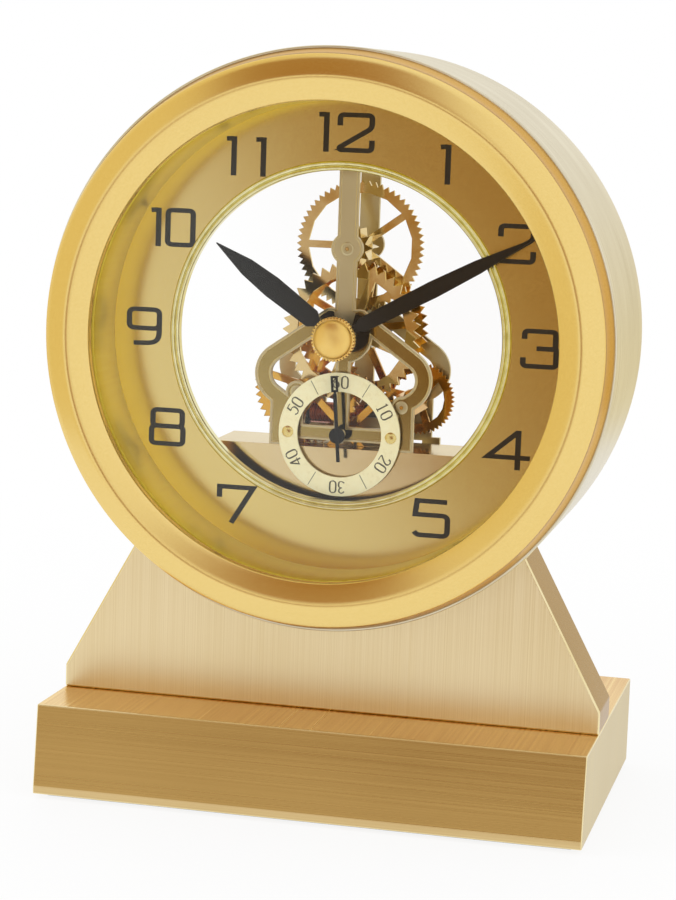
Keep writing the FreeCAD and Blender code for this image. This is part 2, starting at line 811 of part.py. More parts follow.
def make_housing():
    """The moulded block under the train: battery bay open to the back, slots for two wheels on top."""
    depths = (front_plate_depth, housing_end)
    half = housing_width / 2
    block = box("housing_block", (-half, half), depths, (-housing_radius, -ledge_drop))
    rounded = doc.addObject("Part::Common", "housing_rounded")
    rounded.Base = block
    rounded.Tool = cylinder("housing_round", housing_radius, depths)
    bay = box("battery_bay", (-bay_half_x, bay_half_x), (front_plate_depth + housing_skin, housing_end),
              (-battery_drop - bay_half_z, bay_half_z - battery_drop))
    hollowed = cut("housing_hollowed", rounded, [
        bay,
        wheel_slot("seconds_slot", seconds_mesh, seconds_wheel_depth, 0, -seconds_drop),
        wheel_slot("third_slot", third_mesh, third_wheel_depth, third_x, -third_drop),
    ])
    solids = [hollowed]
    for side, word in ((-1, "left"), (1, "right")):
        outer = side * half
        inner = side * (half - lug_width)
        sides = (outer, inner) if side < 0 else (inner, outer)
        solids.append(box(f"{word}_lug", sides, (dial_back, front_plate_depth),
                          (-lug_drop - lug_height, -lug_drop)))
    rail_reach = bay_half_z + door_overlap + fit_gap
    rail_depths = (housing_end, housing_end + door_thickness)
    solids.append(box("upper_rail", (-bay_half_x, bay_half_x), rail_depths,
                      (rail_reach - battery_drop, rail_reach + rail_width - battery_drop)))
    solids.append(box("lower_rail", (-bay_half_x, bay_half_x), rail_depths,
                      (-battery_drop - rail_reach - rail_width, -battery_drop - rail_reach)))
    return fuse("lower_housing", solids)


def make_battery():
    """One AA cell lying across the housing."""
    cell = labelled(doc.addObject("Part::Cylinder", "battery"), "battery")
    cell.Placement = FreeCAD.Placement(ORIGIN, FreeCAD.Rotation(FreeCAD.Vector(0, 1, 0), 90))
    bind(cell, "Radius", battery_radius)
    bind(cell, "Height", battery_length)
    place(cell, -battery_length / 2, battery_depth, -battery_drop)
    return cell


def make_contacts():
    """A bent spring strip at each end of the battery, from the bay's end wall to the cell."""
    contacts = []
    half = battery_radius / 2
    depths = (battery_depth - half, battery_depth + half)
    heights = (-battery_drop - half, half - battery_drop)
    nose_depths = (battery_depth - half / 2, battery_depth + half / 2)
    nose_heights = (-battery_drop - half / 2, half / 2 - battery_drop)
    cell_end = battery_length / 2
    for side, word in ((-1, "negative"), (1, "positive")):
        plate_sides = (side * bay_half_x, side * (bay_half_x - contact_thickness))
        nose_sides = (side * (bay_half_x - contact_thickness), side * cell_end)
        plate = box(word + "_leaf", plate_sides[::-side], depths, heights)
        nose = box(word + "_nose", nose_sides[::-side], nose_depths, nose_heights)
        contacts.append(fuse(f"contact_{word}", [plate, nose]))
    return contacts


def make_door():
    """The battery door: it slides sideways between the housing's rails, with finger ridges at one end."""
    half_x = bay_half_x + door_overlap
    half_z = bay_half_z + door_overlap
    front = housing_end + fit_gap / 2
    back = front + door_thickness
    solids = [box("door_panel", (-half_x, half_x), (front, back),
                  (-battery_drop - half_z, half_z - battery_drop))]
    for number in range(4):
        right = half_x - door_ridge_pitch * (number + 1)
        solids.append(box(f"door_ridge_{number}", (right - door_ridge_pitch / 2, right),
                          (back, back + door_ridge_height),
                          (-battery_drop - half_z / 2, half_z / 2 - battery_drop)))
    return fuse("battery_door", solids)


def make_stator():
    """The laminated stator: pole plate round the rotor, a return leg, and the core through the coil."""
    depths = (stator_depth, stator_depth + stator_thickness)
    pole_left = rotor_x - pole_width / 2
    pole_low = -rotor_drop - pole_width / 2
    core_low = -coil_drop - core_height / 2
    core_high = core_height / 2 - coil_drop
    solids = [
        box("stator_pole", (pole_left, rotor_x + pole_width / 2), depths,
            (pole_low, pole_width / 2 - rotor_drop)),
        box("stator_return", (stator_left_x, rotor_x), depths, (pole_low, pole_low + return_height)),
        box("stator_leg", (stator_left_x, stator_left_x + core_height), depths, (pole_low, core_high)),
        box("stator_core", (stator_left_x, rotor_x), depths, (core_low, core_high)),
    ]
    bore = cylinder("stator_bore", magnet_radius + air_gap, depths, rotor_x, -rotor_drop)
    return cut("stator", fuse("stator_blank", solids), [bore])


def square_about_core(name, sides, width):
    half = as_size(width) / 2
    return box(name, sides, (stator_middle - half, stator_middle + half), (-coil_drop - half, half - coil_drop))


def make_coil():
    """A square bobbin that slides on the core, and the round winding on it."""
    sleeve_width = core_height + fit_gap * 2 + flange_thickness
    window_half = stator_thickness / 2 + fit_gap
    window = box("bobbin_window", (coil_start_x, coil_end_x), (stator_middle - window_half,
                                                              stator_middle + window_half),
                 (-coil_drop - core_height / 2 - fit_gap, core_height / 2 + fit_gap - coil_drop))
    bobbin = fuse("bobbin_blank", [
        square_about_core("left_flange", (coil_start_x, coil_start_x + flange_thickness), coil_flange_width),
        square_about_core("right_flange", (coil_end_x - flange_thickness, coil_end_x), coil_flange_width),
        square_about_core("bobbin_sleeve", (coil_start_x, coil_end_x), sleeve_width),
    ])
    winding = doc.addObject("Part::Prism", "winding_round")
    winding.Polygon = COIL_SIDES
    winding.Placement = FreeCAD.Placement(ORIGIN, FreeCAD.Rotation(FreeCAD.Vector(0, 1, 0), 90))
    bind(winding, "Circumradius", coil_radius)
    bind(winding, "Height", coil_end_x - coil_start_x - flange_thickness * 2)
    place(winding, coil_start_x + flange_thickness, stator_middle, -coil_drop)
    room = square_about_core("winding_room", (coil_start_x, coil_end_x), sleeve_width)
    return [cut("coil_bobbin", bobbin, [window]), cut("coil", winding, [room])]


def make_cock():
    """The bracket on the housing for the seconds arbor's rear pivot and the rotor's front pivot."""
    depths = (cock_depth, cock_depth + cock_thickness)
    sides = (-cock_margin, rotor_x + cock_margin)
    wall = box("cock_wall", sides, depths, (-ledge_drop, cock_margin - seconds_drop))
    foot = box("cock_foot", sides, (cock_depth, cock_foot_end), (-ledge_drop, 1 - ledge_drop))
    return cut("seconds_cock", fuse("cock_blank", [wall, foot]), [
        pivot_hole("cock_seconds_hole", depths, 0, -seconds_drop),
        pivot_hole("cock_rotor_hole", depths, rotor_x, -rotor_drop),
    ])


def make_seconds_ring():
    """The small ring that carries the seconds, and the two posts that hold it off the crosspiece."""
    depths = (seconds_ring_depth, seconds_ring_depth + seconds_ring_thickness)
    outer = prism("seconds_ring_disc", RING_SIDES, seconds_ring_radius, depths, 0, -seconds_drop)
    inner = prism("seconds_ring_hole", RING_SIDES, seconds_ring_bore, depths, 0, -seconds_drop)
    post_depths = (depths[1], front_plate_depth)
    posts = [prism(f"{word}_ring_post", 6, ring_post_radius, post_depths, side * ring_middle, -seconds_drop)
             for side, word in ((-1, "left"), (1, "right"))]
    return [cut("seconds_ring", outer, [inner]), group("seconds_ring_posts", posts)]


# ---------------------------------------------------------------- hands and wheels

# How a hand's blade widens and narrows, as shares of its half width and of its length.
HAND_ROOT_SHARE = 0.86
HAND_BELLY_SHARE = 0.42
HAND_TAPER_WIDTH = 0.8
HAND_TAPER_SHARE = 0.68
HAND_TIP_HALF = 0.12


def pointer(length, width, thickness):
    """A lance blade that points up: narrow neck, quick shoulder, widest below the middle, long point."""
    neck = hand_neck_width.value / 2
    half = width / 2
    shoulder = hand_shoulder.value
    blade = length - shoulder
    right = [
        (neck, 0),
        (neck, shoulder - (half - neck)),
        (half * HAND_ROOT_SHARE, shoulder),
        (half, shoulder + blade * HAND_BELLY_SHARE),
        (half * HAND_TAPER_WIDTH, shoulder + blade * HAND_TAPER_SHARE),
        (HAND_TIP_HALF, length),
    ]
    outline = right + [(-across, up) for across, up in reversed(right)]
    return flat_prism(closed_wire([FreeCAD.Vector(across, 0, up) for across, up in outline]), [],
                      (0, thickness))


def make_minute_hand():
    thickness = hand_thickness.value
    blade = pointer(minute_hand_length.value, minute_hand_width.value, thickness)
    socket = flat_prism(square_wire(square_width.value + square_gap.value * 2), [], (0, thickness))
    hand = blade.fuse(rod(minute_hub_radius.value, (0, thickness)))
    hand.rotate(ORIGIN, BACKWARDS, minute_hand_angle.value)
    return made_by_code("minute_hand", hand.cut(socket).removeSplitter(), minute_hand_depth)


def make_hour_hand():
    blade = pointer(hour_hand_length.value, hour_hand_width.value, hand_thickness.value)
    depths = (0, hour_hub_height.value)
    hand = blade.fuse(rod(hour_hub_radius.value, depths))
    hand = hand.cut(rod(hour_pipe_radius.value + square_gap.value, depths)).removeSplitter()
    hand.rotate(ORIGIN, BACKWARDS, hour_hand_angle.value)
    return made_by_code("hour_hand", hand, hour_hand_depth)


def make_seconds_hand():
    """A thin bar with an open frame near its tip, a round hub and a plain tail."""
    depths = (0, hand_thickness.value)
    half_bar = seconds_hand_bar.value / 2
    half_frame = seconds_frame_width.value / 2
    length = seconds_hand_length.value
    frame_low = length - seconds_frame_length.value
    tail = -seconds_hand_tail.value

    def rectangle(half, low, high):
        corners = ((-half, low), (half, low), (half, high), (-half, high))
        return closed_wire([FreeCAD.Vector(across, 0, up) for across, up in corners])

    frame = flat_prism(rectangle(half_frame, frame_low, length),
                       [rectangle(half_frame - half_bar * 2, frame_low + half_bar * 2, length - half_bar * 2)],
                       depths)
    bar = flat_prism(rectangle(half_bar, tail, frame_low + half_bar), [], depths)
    hand = bar.fuse([frame, rod(seconds_hand_hub.value, depths)])
    socket = flat_prism(polygon_wire(pivot_radius.value, PIVOT_SIDES), [], depths)
    hand.rotate(ORIGIN, BACKWARDS, seconds_hand_angle.value)
    hand = hand.cut(socket).removeSplitter()
    return made_by_code("seconds_hand", hand, seconds_hand_depth, 0, -seconds_drop)


def make_nut():
    """The coned hand nut with a knurled rim, on the squared front end of the minute arbor."""
    height = nut_height.value
    rim_start = height - nut_rim_height.value
    valley = nut_radius.value - nut_ridge_depth.value
    rim = flat_prism(zigzag_wire(nut_radius.value, valley, nut_ridges.value), [], (rim_start, height))
    crown = frustum(nut_crown_radius.value, valley, int(nut_ridges.value), rim_start)
    socket = flat_prism(square_wire(square_width.value + square_gap.value * 2), [], (rim_start, height))
    nut = crown.fuse(rim).cut(socket).removeSplitter()
    return made_by_code("hand_nut", nut, minute_hand_depth - nut_height)


def make_minute_arbor():
    """The long centre arbor with the cannon pinion; both ends are squared, for the hand and the knob."""
    radius = minute_arbor_radius.value
    square = square_wire(square_width.value)
    pinion_depths = (minute_wheel_depth.value - pinion_overhang.value,
                     centre_wheel_depth.value - washer_thickness.value - end_shake.value)
    collar_start = centre_wheel_depth.value + wheel_thickness.value + end_shake.value
    collar = flat_prism(zigzag_wire(collar_radius.value, collar_radius.value, 3), [],
                        (collar_start, collar_start + collar_length.value))
    arbor = rod(radius, (square_end.value, knob_square_start.value)).fuse([
        flat_prism(square, [], (square_start.value, square_end.value)),
        flat_prism(square, [], (knob_square_start.value, knob_depth.value + knob_height.value)),
        minute_mesh.pinion(pinion_depths),
        collar,
    ])
    return made_by_code("minute_arbor", arbor.removeSplitter())


def make_hour_wheel():
    """The hour wheel on its pipe, which turns on the minute arbor and carries the hour hand."""
    start = hour_wheel_depth.value
    end = start + wheel_thickness.value
    pipe = rod(hour_pipe_radius.value, (hour_hand_depth.value, end))
    wheel = hour_mesh.wheel((start, end), 4, 20)
    bore = rod(minute_arbor_radius.value + running_gap.value, (hour_hand_depth.value, end))
    return made_by_code("hour_wheel", wheel.fuse(pipe).cut(bore).removeSplitter())


def pivoted(depths, solids):
    """A thin arbor with everything that it carries; its bare ends are the pivots."""
    arbor = flat_prism(polygon_wire(pivot_radius.value, PIVOT_SIDES), [], depths)
    return arbor.fuse(solids).removeSplitter()


PLATE_TO_PLATE = (front_plate_depth.value, rear_plate_back.value)


def make_minute_wheel():
    """The large upper wheel, driven by the cannon pinion; its long pinion drives the hour wheel."""
    start = minute_wheel_depth.value
    wheel = minute_mesh.wheel((start, start + wheel_thickness.value), 5, 54)
    pinion = hour_mesh.pinion((hour_wheel_depth.value - pinion_overhang.value, start))
    shape = pivoted(PLATE_TO_PLATE, [wheel, pinion])
    return made_by_code("minute_wheel", shape, 0, 0, upper_rise)


def make_clutch():
    """A six-cornered spring washer that presses the centre wheel, so the hands can be set."""
    end = centre_wheel_depth.value - end_shake.value
    bore = circle_wire(minute_arbor_radius.value + running_gap.value)
    outline = zigzag_wire(washer_radius.value, washer_radius.value, 3)
    washer = flat_prism(outline, [bore], (end - washer_thickness.value, end))
    return made_by_code("clutch_spring", washer)


def make_centre_wheel():
    """The last wheel of the going train, turned once an hour and loose on the minute arbor."""
    start = centre_wheel_depth.value
    bore = minute_arbor_radius.value + running_gap.value
    wheel = centre_mesh.wheel((start, start + wheel_thickness.value), 5, 10, bore)
    return made_by_code("centre_wheel", wheel)


def make_seconds_arbor():
    """The seconds arbor: hand in front, wheel driven by the step pinion, pinion driving the third wheel."""
    start = seconds_wheel_depth.value
    end = start + fine_wheel_thickness.value
    pinion_end = third_wheel_depth.value + fine_wheel_thickness.value + pinion_overhang.value
    wheel = seconds_mesh.wheel((start, end), 4, 45)
    pinion = third_mesh.pinion((end, pinion_end))
    shape = pivoted((seconds_hand_depth.value, (cock_depth + cock_thickness).value), [wheel, pinion])
    return made_by_code("seconds_arbor", shape, 0, 0, -seconds_drop)


def make_third_wheel():
    """The third wheel and its long pinion, between the seconds arbor and the centre wheel."""
    start = third_wheel_depth.value
    end = start + fine_wheel_thickness.value
    wheel = third_mesh.wheel((start, end), 4, 15)
    pinion_end = centre_wheel_depth.value + wheel_thickness.value + pinion_overhang.value
    pinion = centre_mesh.pinion((end, pinion_end))
    return made_by_code("third_wheel", pivoted(PLATE_TO_PLATE, [wheel, pinion]), 0, third_x, -third_drop)


def make_step_wheel():
    """The step wheel and its long pinion, between the rotor and the seconds wheel."""
    start = step_wheel_depth.value
    wheel = step_mesh.wheel((start, start + fine_wheel_thickness.value), 3, 40)
    pinion = seconds_mesh.pinion((seconds_wheel_depth.value - pinion_overhang.value, start))
    return made_by_code("step_wheel", pivoted(PLATE_TO_PLATE, [wheel, pinion]), 0, step_x, -step_drop)


def make_rotor():
    """The motor's magnet rotor with its pinion."""
    magnet = flat_prism(polygon_wire(magnet_radius.value, MAGNET_SIDES), [],
                        (magnet_start.value, magnet_end.value))
    pinion_end = step_wheel_depth.value + fine_wheel_thickness.value + pinion_overhang.value
    pinion = step_mesh.pinion((magnet_end.value, pinion_end))
    shape = pivoted((cock_depth.value, rear_plate_back.value), [magnet, pinion])
    return made_by_code("rotor", shape, 0, rotor_x, -rotor_drop)


def make_knob():
    """The ridged setting knob on the squared rear end of the minute arbor."""
    outline = zigzag_wire(knob_radius.value, knob_radius.value - knob_ridge_depth.value, knob_ridges.value)
    socket = square_wire(square_width.value + square_gap.value * 2)
    return made_by_code("setting_knob", flat_prism(outline, [socket], (0, knob_height.value)), knob_depth)


MAKERS = (
    make_plinth,
    make_felt,
    make_stand,
    make_case_band,
    make_bezel,
    make_glass,
    make_dial,
    make_front_plate,
    make_rear_plate,
    make_pillars,
    make_spacers,
    make_housing,
    make_battery,
    make_contacts,
    make_door,
    make_stator,
    make_coil,
    make_cock,
    make_seconds_ring,
    make_minute_hand,
    make_hour_hand,
    make_seconds_hand,
    make_nut,
    make_minute_arbor,
    make_hour_wheel,
    make_minute_wheel,
    make_clutch,
    make_centre_wheel,
    make_seconds_arbor,
    make_third_wheel,
    make_step_wheel,
    make_rotor,
    make_knob,
)


def make_all():
    doc.recompute()
    sub_parts = []
    for maker in MAKERS:
        made = maker()
        sub_parts += made if isinstance(made, list) else [made]
    doc.recompute()
    return sub_parts


def check_all(sub_parts):
    for item in doc.Objects:
        if "Invalid" in item.State or "Error" in item.State:
            raise RuntimeError(f"{item.Name} is {item.State}")
    for part in sub_parts:
        if part.Shape.isNull() or not part.Shape.isValid():
            raise RuntimeError(part.Label + " has no valid shape")


def export_all(sub_parts):
    os.makedirs("parts", exist_ok=True)
    for part in sub_parts:
        part.Shape.exportStep(os.path.join("parts", part.Label + ".step"))
        print(part.Label, len(part.Shape.Solids), round(part.Shape.Volume, 2))


clock_parts = make_all()
check_all(clock_parts)
export_all(clock_parts)
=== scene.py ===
# %% [markdown]
# # A skeleton mantel clock
# The clock is a round gold case on a sloping stand. Its dial is a ring, and through the ring one sees the
# wheels. This lesson dresses the imported model of the clock, which is already the right size and already
# turns, so that each part looks like the metal, glass, paint or felt it is made of.
# The frame is loaded first.

# %% Load the frame
import json
import math
import bpy
from mathutils import Matrix, Vector

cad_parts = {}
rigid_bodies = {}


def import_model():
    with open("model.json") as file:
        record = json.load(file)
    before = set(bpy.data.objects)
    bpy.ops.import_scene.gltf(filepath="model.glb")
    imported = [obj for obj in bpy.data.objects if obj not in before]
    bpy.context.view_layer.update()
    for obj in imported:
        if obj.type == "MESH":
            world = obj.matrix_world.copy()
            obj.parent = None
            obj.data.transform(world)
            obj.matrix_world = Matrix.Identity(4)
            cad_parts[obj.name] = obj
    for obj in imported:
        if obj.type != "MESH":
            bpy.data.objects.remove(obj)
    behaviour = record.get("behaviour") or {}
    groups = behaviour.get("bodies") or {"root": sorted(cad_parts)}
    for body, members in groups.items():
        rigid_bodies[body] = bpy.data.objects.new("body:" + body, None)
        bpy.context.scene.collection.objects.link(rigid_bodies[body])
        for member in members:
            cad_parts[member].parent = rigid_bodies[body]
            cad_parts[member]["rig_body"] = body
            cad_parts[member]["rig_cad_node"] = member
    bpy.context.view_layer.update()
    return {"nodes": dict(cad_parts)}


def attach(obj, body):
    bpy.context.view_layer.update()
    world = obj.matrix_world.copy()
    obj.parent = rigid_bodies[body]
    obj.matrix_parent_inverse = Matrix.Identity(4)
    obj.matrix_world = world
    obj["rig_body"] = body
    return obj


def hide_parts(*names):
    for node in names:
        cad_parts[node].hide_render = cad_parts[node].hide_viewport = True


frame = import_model()
print("parts in the frame:", len(frame["nodes"]))

# %% [markdown]
# Places on a clock are easiest to give from its own axis: how far across, how far up, and how deep behind
# the front edge of the bezel. Everything is written in millimetres and made metres in one place.

# %% Places on the clock
MM = 0.001
AXIS_HEIGHT = 128.3
FRONT_EDGE = -44.75


def at(across, depth, rise):
    """A point counted from the dial's axis and the bezel's front edge."""
    return Vector((across, FRONT_EDGE + depth, AXIS_HEIGHT + rise)) * MM


def on_ring(radius, degrees, depth, middle_rise=0.0):
    """A point on a dial, at an angle counted clockwise from the top."""
    angle = math.radians(degrees)
    return at(radius * math.sin(angle), depth, middle_rise + radius * math.cos(angle))


print("the hands turn about", tuple(round(v, 4) for v in at(0, 0, 0)))

# %% [markdown]
# ## Metals
# Gold anodised and brushed metal is not one colour. The brush leaves fine lines, each a little lighter or
# rougher than the next, and they catch the light as long streaks. A noise pattern stretched along the
# brushing gives those lines, and a second, broad one gives the slow change of tone. Both steer the colour,
# and the lines also steer the roughness and a very small bump.

# %% A node material, and a noise to steer it
def new_material(name):
    material = bpy.data.materials.new(name)
    material.use_nodes = True
    tree = material.node_tree
    place = tree.nodes.new("ShaderNodeTexCoord")
    return material, tree, tree.nodes["Principled BSDF"], place.outputs["Object"]


def stretched_noise(tree, place, per_metre, detail=4.0, offset=(0, 0, 0)):
    """Noise with its own number of changes per metre along X, Y and Z."""
    mapping = tree.nodes.new("ShaderNodeMapping")
    mapping.inputs["Scale"].default_value = per_metre
    mapping.inputs["Location"].default_value = offset
    noise = tree.nodes.new("ShaderNodeTexNoise")
    noise.inputs["Scale"].default_value = 1.0
    noise.inputs["Detail"].default_value = detail
    tree.links.new(place, mapping.inputs["Vector"])
    tree.links.new(mapping.outputs["Vector"], noise.inputs["Vector"])
    return noise.outputs["Fac"]


def spread(tree, value, low, high, start=0.3, end=0.7):
    """Turns start to end, which is most of a noise, into low to high."""
    node = tree.nodes.new("ShaderNodeMapRange")
    node.inputs["From Min"].default_value = start
    node.inputs["From Max"].default_value = end
    node.inputs["To Min"].default_value = low
    node.inputs["To Max"].default_value = high
    tree.links.new(value, node.inputs["Value"])
    return node.outputs["Result"]


def sum_of(tree, first, first_share, second, second_share):
    """Two values added in shares."""
    parts = []
    for value, share in ((first, first_share), (second, second_share)):
        node = tree.nodes.new("ShaderNodeMath")
        node.operation = "MULTIPLY"
        node.inputs[1].default_value = share
        tree.links.new(value, node.inputs[0])
        parts.append(node.outputs["Value"])
    total = tree.nodes.new("ShaderNodeMath")
    tree.links.new(parts[0], total.inputs[0])
    tree.links.new(parts[1], total.inputs[1])
    return total.outputs["Value"]


def mix_colors(tree, value, first, second):
    """The first where the value is 0, the second where it is 1; each is a colour or another node's result."""
    node = tree.nodes.new("ShaderNodeMix")
    node.data_type = "RGBA"
    tree.links.new(value, node.inputs["Factor"])
    for name, side in (("A", first), ("B", second)):
        if isinstance(side, tuple):
            node.inputs[name].default_value = (*side, 1)
        else:
            tree.links.new(side, node.inputs[name])
    return node.outputs["Result"]


def bump(tree, value, height_mm, shader):
    node = tree.nodes.new("ShaderNodeBump")
    node.inputs["Distance"].default_value = height_mm * MM
    tree.links.new(value, node.inputs["Height"])
    tree.links.new(node.outputs["Normal"], shader.inputs["Normal"])


def srgb(text):
    """A colour written as six hexadecimal digits, made linear."""
    parts = [int(text[i:i + 2], 16) / 255 for i in (0, 2, 4)]
    return tuple(p / 12.92 if p <= 0.04045 else ((p + 0.055) / 1.055) ** 2.4 for p in parts)


print("mid gold is", [round(v, 3) for v in srgb("D9B25F")])

# %% Brushed and satin metal
LINE_SHARE, CLOUD_SHARE = 0.65, 0.35


def metal(name, light, dark, roughness, line_scale, line_height, rough_swing=0.06, broad=(14, 14, 14)):
    """light and dark end the colour; line_scale says how fast the lines change along each axis."""
    material, tree, shader, place = new_material(name)
    lines = stretched_noise(tree, place, line_scale, 5.0)
    cloud = stretched_noise(tree, place, broad, 2.0, (3, 5, 7))
    tone = spread(tree, sum_of(tree, lines, LINE_SHARE, cloud, CLOUD_SHARE), 0.0, 1.0)
    tree.links.new(mix_colors(tree, tone, srgb(dark), srgb(light)), shader.inputs["Base Color"])
    tree.links.new(spread(tree, lines, roughness - rough_swing, roughness + rough_swing),
                   shader.inputs["Roughness"])
    shader.inputs["Metallic"].default_value = 1.0
    if line_height:
        bump(tree, lines, line_height, shader)
    return material


# changes per metre across the brushing and along it
FINE, SLOW = 3000, 5
# plinth: a darker copy of the gold on the front, a painted shade; lighter copies on the top, the sides and
# the low strip, painted light and a painted highlight
plinth_front_gold_painted_shade = metal("plinth_front_gold_painted_shade", "C4A060", "B08C50", 0.30, (SLOW, FINE, FINE), 0.016)
plinth_side_gold_painted_light = metal("plinth_side_gold_painted_light", "DCCB98", "C0A868", 0.34, (FINE, FINE, SLOW), 0.012)
plinth_top_gold_painted_light = metal("plinth_top_gold_painted_light", "FFE3A0", "D8A450", 0.22, (1300, SLOW, SLOW), 0.10)
land_gold_painted_highlight = metal("land_gold_painted_highlight", "E2C892", "CEB078", 0.34, (SLOW, FINE, FINE), 0.012)
stand_gold = metal("stand_gold", "F8E8C2", "E2CC9A", 0.36, (FINE, FINE, SLOW), 0.02)
# the sides of the stand: the stand's gold painted darker, a painted shade
stand_side_gold_painted_shade = metal("stand_side_gold_painted_shade", "B8924C", "A07C3C", 0.30, (FINE, FINE, SLOW), 0.012)
bezel_gold = metal("bezel_gold", "F2D68C", "ECCC7C", 0.25, (2400, 2400, 2400), 0.0004, 0.012)
# rim and wall are copies of the bezel gold: darker orange on the outer side, a painted shade, and brighter
# yellow on the inner wall, a painted reflection of the dial
rim_gold_painted_shade = metal("rim_gold_painted_shade", "DEB058", "CC9C3E", 0.25, (2400, 2400, 2400), 0.0004, 0.012)
wall_gold_painted_reflection = metal("wall_gold_painted_reflection", "F6E468", "EED650", 0.42, (900, 60, 900), 0.0006, 0.02)
champagne = metal("champagne", "F0E9D2", "C2B594", 0.32, (30, 2400, 30), 0.010, 0.06, (25, 60, 25))
print("brushed finishes:", plinth_front_gold_painted_shade.name, plinth_top_gold_painted_light.name, stand_gold.name, champagne.name)

# %% Finishes of the dial and the movement
dial_satin = metal("dial_satin", "E0CA82", "D8C078", 0.17, (2400, 2400, 2400), 0.0004, 0.012)
trim_bright = metal("trim_bright", "F0EBBC", "D2C884", 0.12, (300, 300, 300), 0.0, 0.03)
plate_satin = metal("plate_satin", "CABC94", "BEB088", 0.30, (60, 60, 60), 0.0, 0.02)
plate_edge = metal("plate_edge", "F6E8BE", "E8D49C", 0.08, (60, 60, 60), 0.0, 0.02)
# channel floor in the front plate's arms: the plate's gold painted darker, a painted shade and dark
# reflection
plate_channel_painted_shade = metal("plate_channel_painted_shade", "B09A60", "8C7638", 0.10, (60, 60, 60), 0.0, 0.02)
# the wheels' pale brass made a richer gold, a painted reflection of the gold round them
brass_painted_gold_reflection = metal("brass_painted_gold_reflection", "E8B854", "C08A30", 0.10, (150, 150, 150), 0.0, 0.03)
wheel_polish = metal("wheel_polish", "F0DDA8", "E0C484", 0.12, (150, 150, 150), 0.0, 0.03)
brown_polish = metal("brown_polish", "E2B060", "B87C34", 0.08, (150, 150, 150), 0.0, 0.03)
housing_polish = metal("housing_polish", "E2CFA2", "D2BA84", 0.14, (100, 100, 100), 0.0, 0.03)
steel = metal("steel", "D8D8D4", "B4B4AE", 0.18, (900, 900, 900), 0.002, 0.06)
iron = metal("iron", "9C9C98", "767674", 0.38, (1400, 1400, 1400), 0.006, 0.08)
nickel = metal("nickel", "E2E0D8", "C8C6BC", 0.18, (800, 800, 800), 0.002, 0.06)
nut_gold = metal("nut_gold", "F8D67E", "EABE62", 0.36, (200, 200, 200), 0.0, 0.02)
copper = metal("copper", "C0704A", "8E482A", 0.26, (5200, 40, 40), 0.06, 0.08)
print("polished finishes:", wheel_polish.name, housing_polish.name, nut_gold.name)

# %% [markdown]
# Paint, plastic, enamel and felt are not metals. Each still varies a little in tone and in gloss: enamel
# has a faint ripple, a moulded part has a fine grain, and felt is a mat of fibres that scatters light at
# grazing angles.

# %% Paint, plastic, enamel and felt
ROUGHNESS_SWING = 0.05


def coat(name, light, dark, roughness, grain_per_metre, grain_height, gloss=0.0):
    material, tree, shader, place = new_material(name)
    grain = stretched_noise(tree, place, (grain_per_metre,) * 3, 6.0)
    tree.links.new(mix_colors(tree, spread(tree, grain, 0, 1), srgb(dark), srgb(light)),
                   shader.inputs["Base Color"])
    tree.links.new(spread(tree, grain, roughness - ROUGHNESS_SWING, roughness + ROUGHNESS_SWING),
                   shader.inputs["Roughness"])
    shader.inputs["Coat Weight"].default_value = gloss
    shader.inputs["Coat Roughness"].default_value = 0.08
    if grain_height:
        bump(tree, grain, grain_height, shader)
    return material


hand_black = coat("hand_black", "12110F", "0C0B0A", 0.40, 600, 0)
hand_black.node_tree.nodes["Principled BSDF"].inputs["Specular IOR Level"].default_value = 0.2
numeral_ink = coat("numeral_ink", "211E18", "171510", 0.45, 1500, 0)
numeral_ink.node_tree.nodes["Principled BSDF"].inputs["Specular IOR Level"].default_value = 0.3
ring_ink = coat("ring_ink", "565038", "46412E", 0.45, 1500, 0)
cream = coat("cream", "FFF8CA", "FCF2C0", 0.30, 600, 0.0005, 0.4)
dark_plastic = coat("dark_plastic", "2A2924", "181714", 0.50, 3000, 0.015)
battery_skin = coat("battery_skin", "3A3A3E", "26262A", 0.35, 400, 0.003, 0.3)
felt = coat("felt", "2E2C28", "131210", 0.92, 2200, 0.15)
felt.node_tree.nodes["Principled BSDF"].inputs["Sheen Weight"].default_value = 0.5
print("paint and plastic:", hand_black.name, cream.name, dark_plastic.name, felt.name)

# %% [markdown]
# A clock glass is a thin clear pane. It could be a material that bends light, but that would dim and
# shift the hands behind it. A thin pane hardly bends anything: it adds a faint mirror image on top of
# what lies behind. So it is made a mirror that is almost wholly see-through.

# %% Clear glass
GLASS_MIRROR_SHARE = 0.022


def clear_glass(name):
    """Each side of a clear pane mirrors a few hundredths of the light and lets the rest straight through."""
    material, tree, shader, place = new_material(name)
    smears = stretched_noise(tree, place, (30, 30, 30), 3.0)
    tree.links.new(spread(tree, smears, 0.0, 0.03), shader.inputs["Roughness"])
    shader.inputs["Base Color"].default_value = (0.96, 0.98, 0.97, 1)
    shader.inputs["Metallic"].default_value = 1.0
    shader.inputs["Alpha"].default_value = GLASS_MIRROR_SHARE
    return material


glass_material = clear_glass("clear_glass")
print("glass:", glass_material.name)

# %% [markdown]
# ## Ways of making a piece
# Three helpers serve most of the clock. A turned piece starts as a circle that is drawn out corner by
# corner, as on a lathe. A dressed copy takes a part's own mesh, merges its loose triangles into whole
# faces and rounds its edges. The last one paints a piece, fixes it to the body it moves with and hides the
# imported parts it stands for.

# %% Turn a ring or a knob
def select_only(*pieces):
    bpy.ops.object.select_all(action="DESELECT")
    for piece in pieces:
        piece.select_set(True)
    bpy.context.view_layer.objects.active = pieces[0]


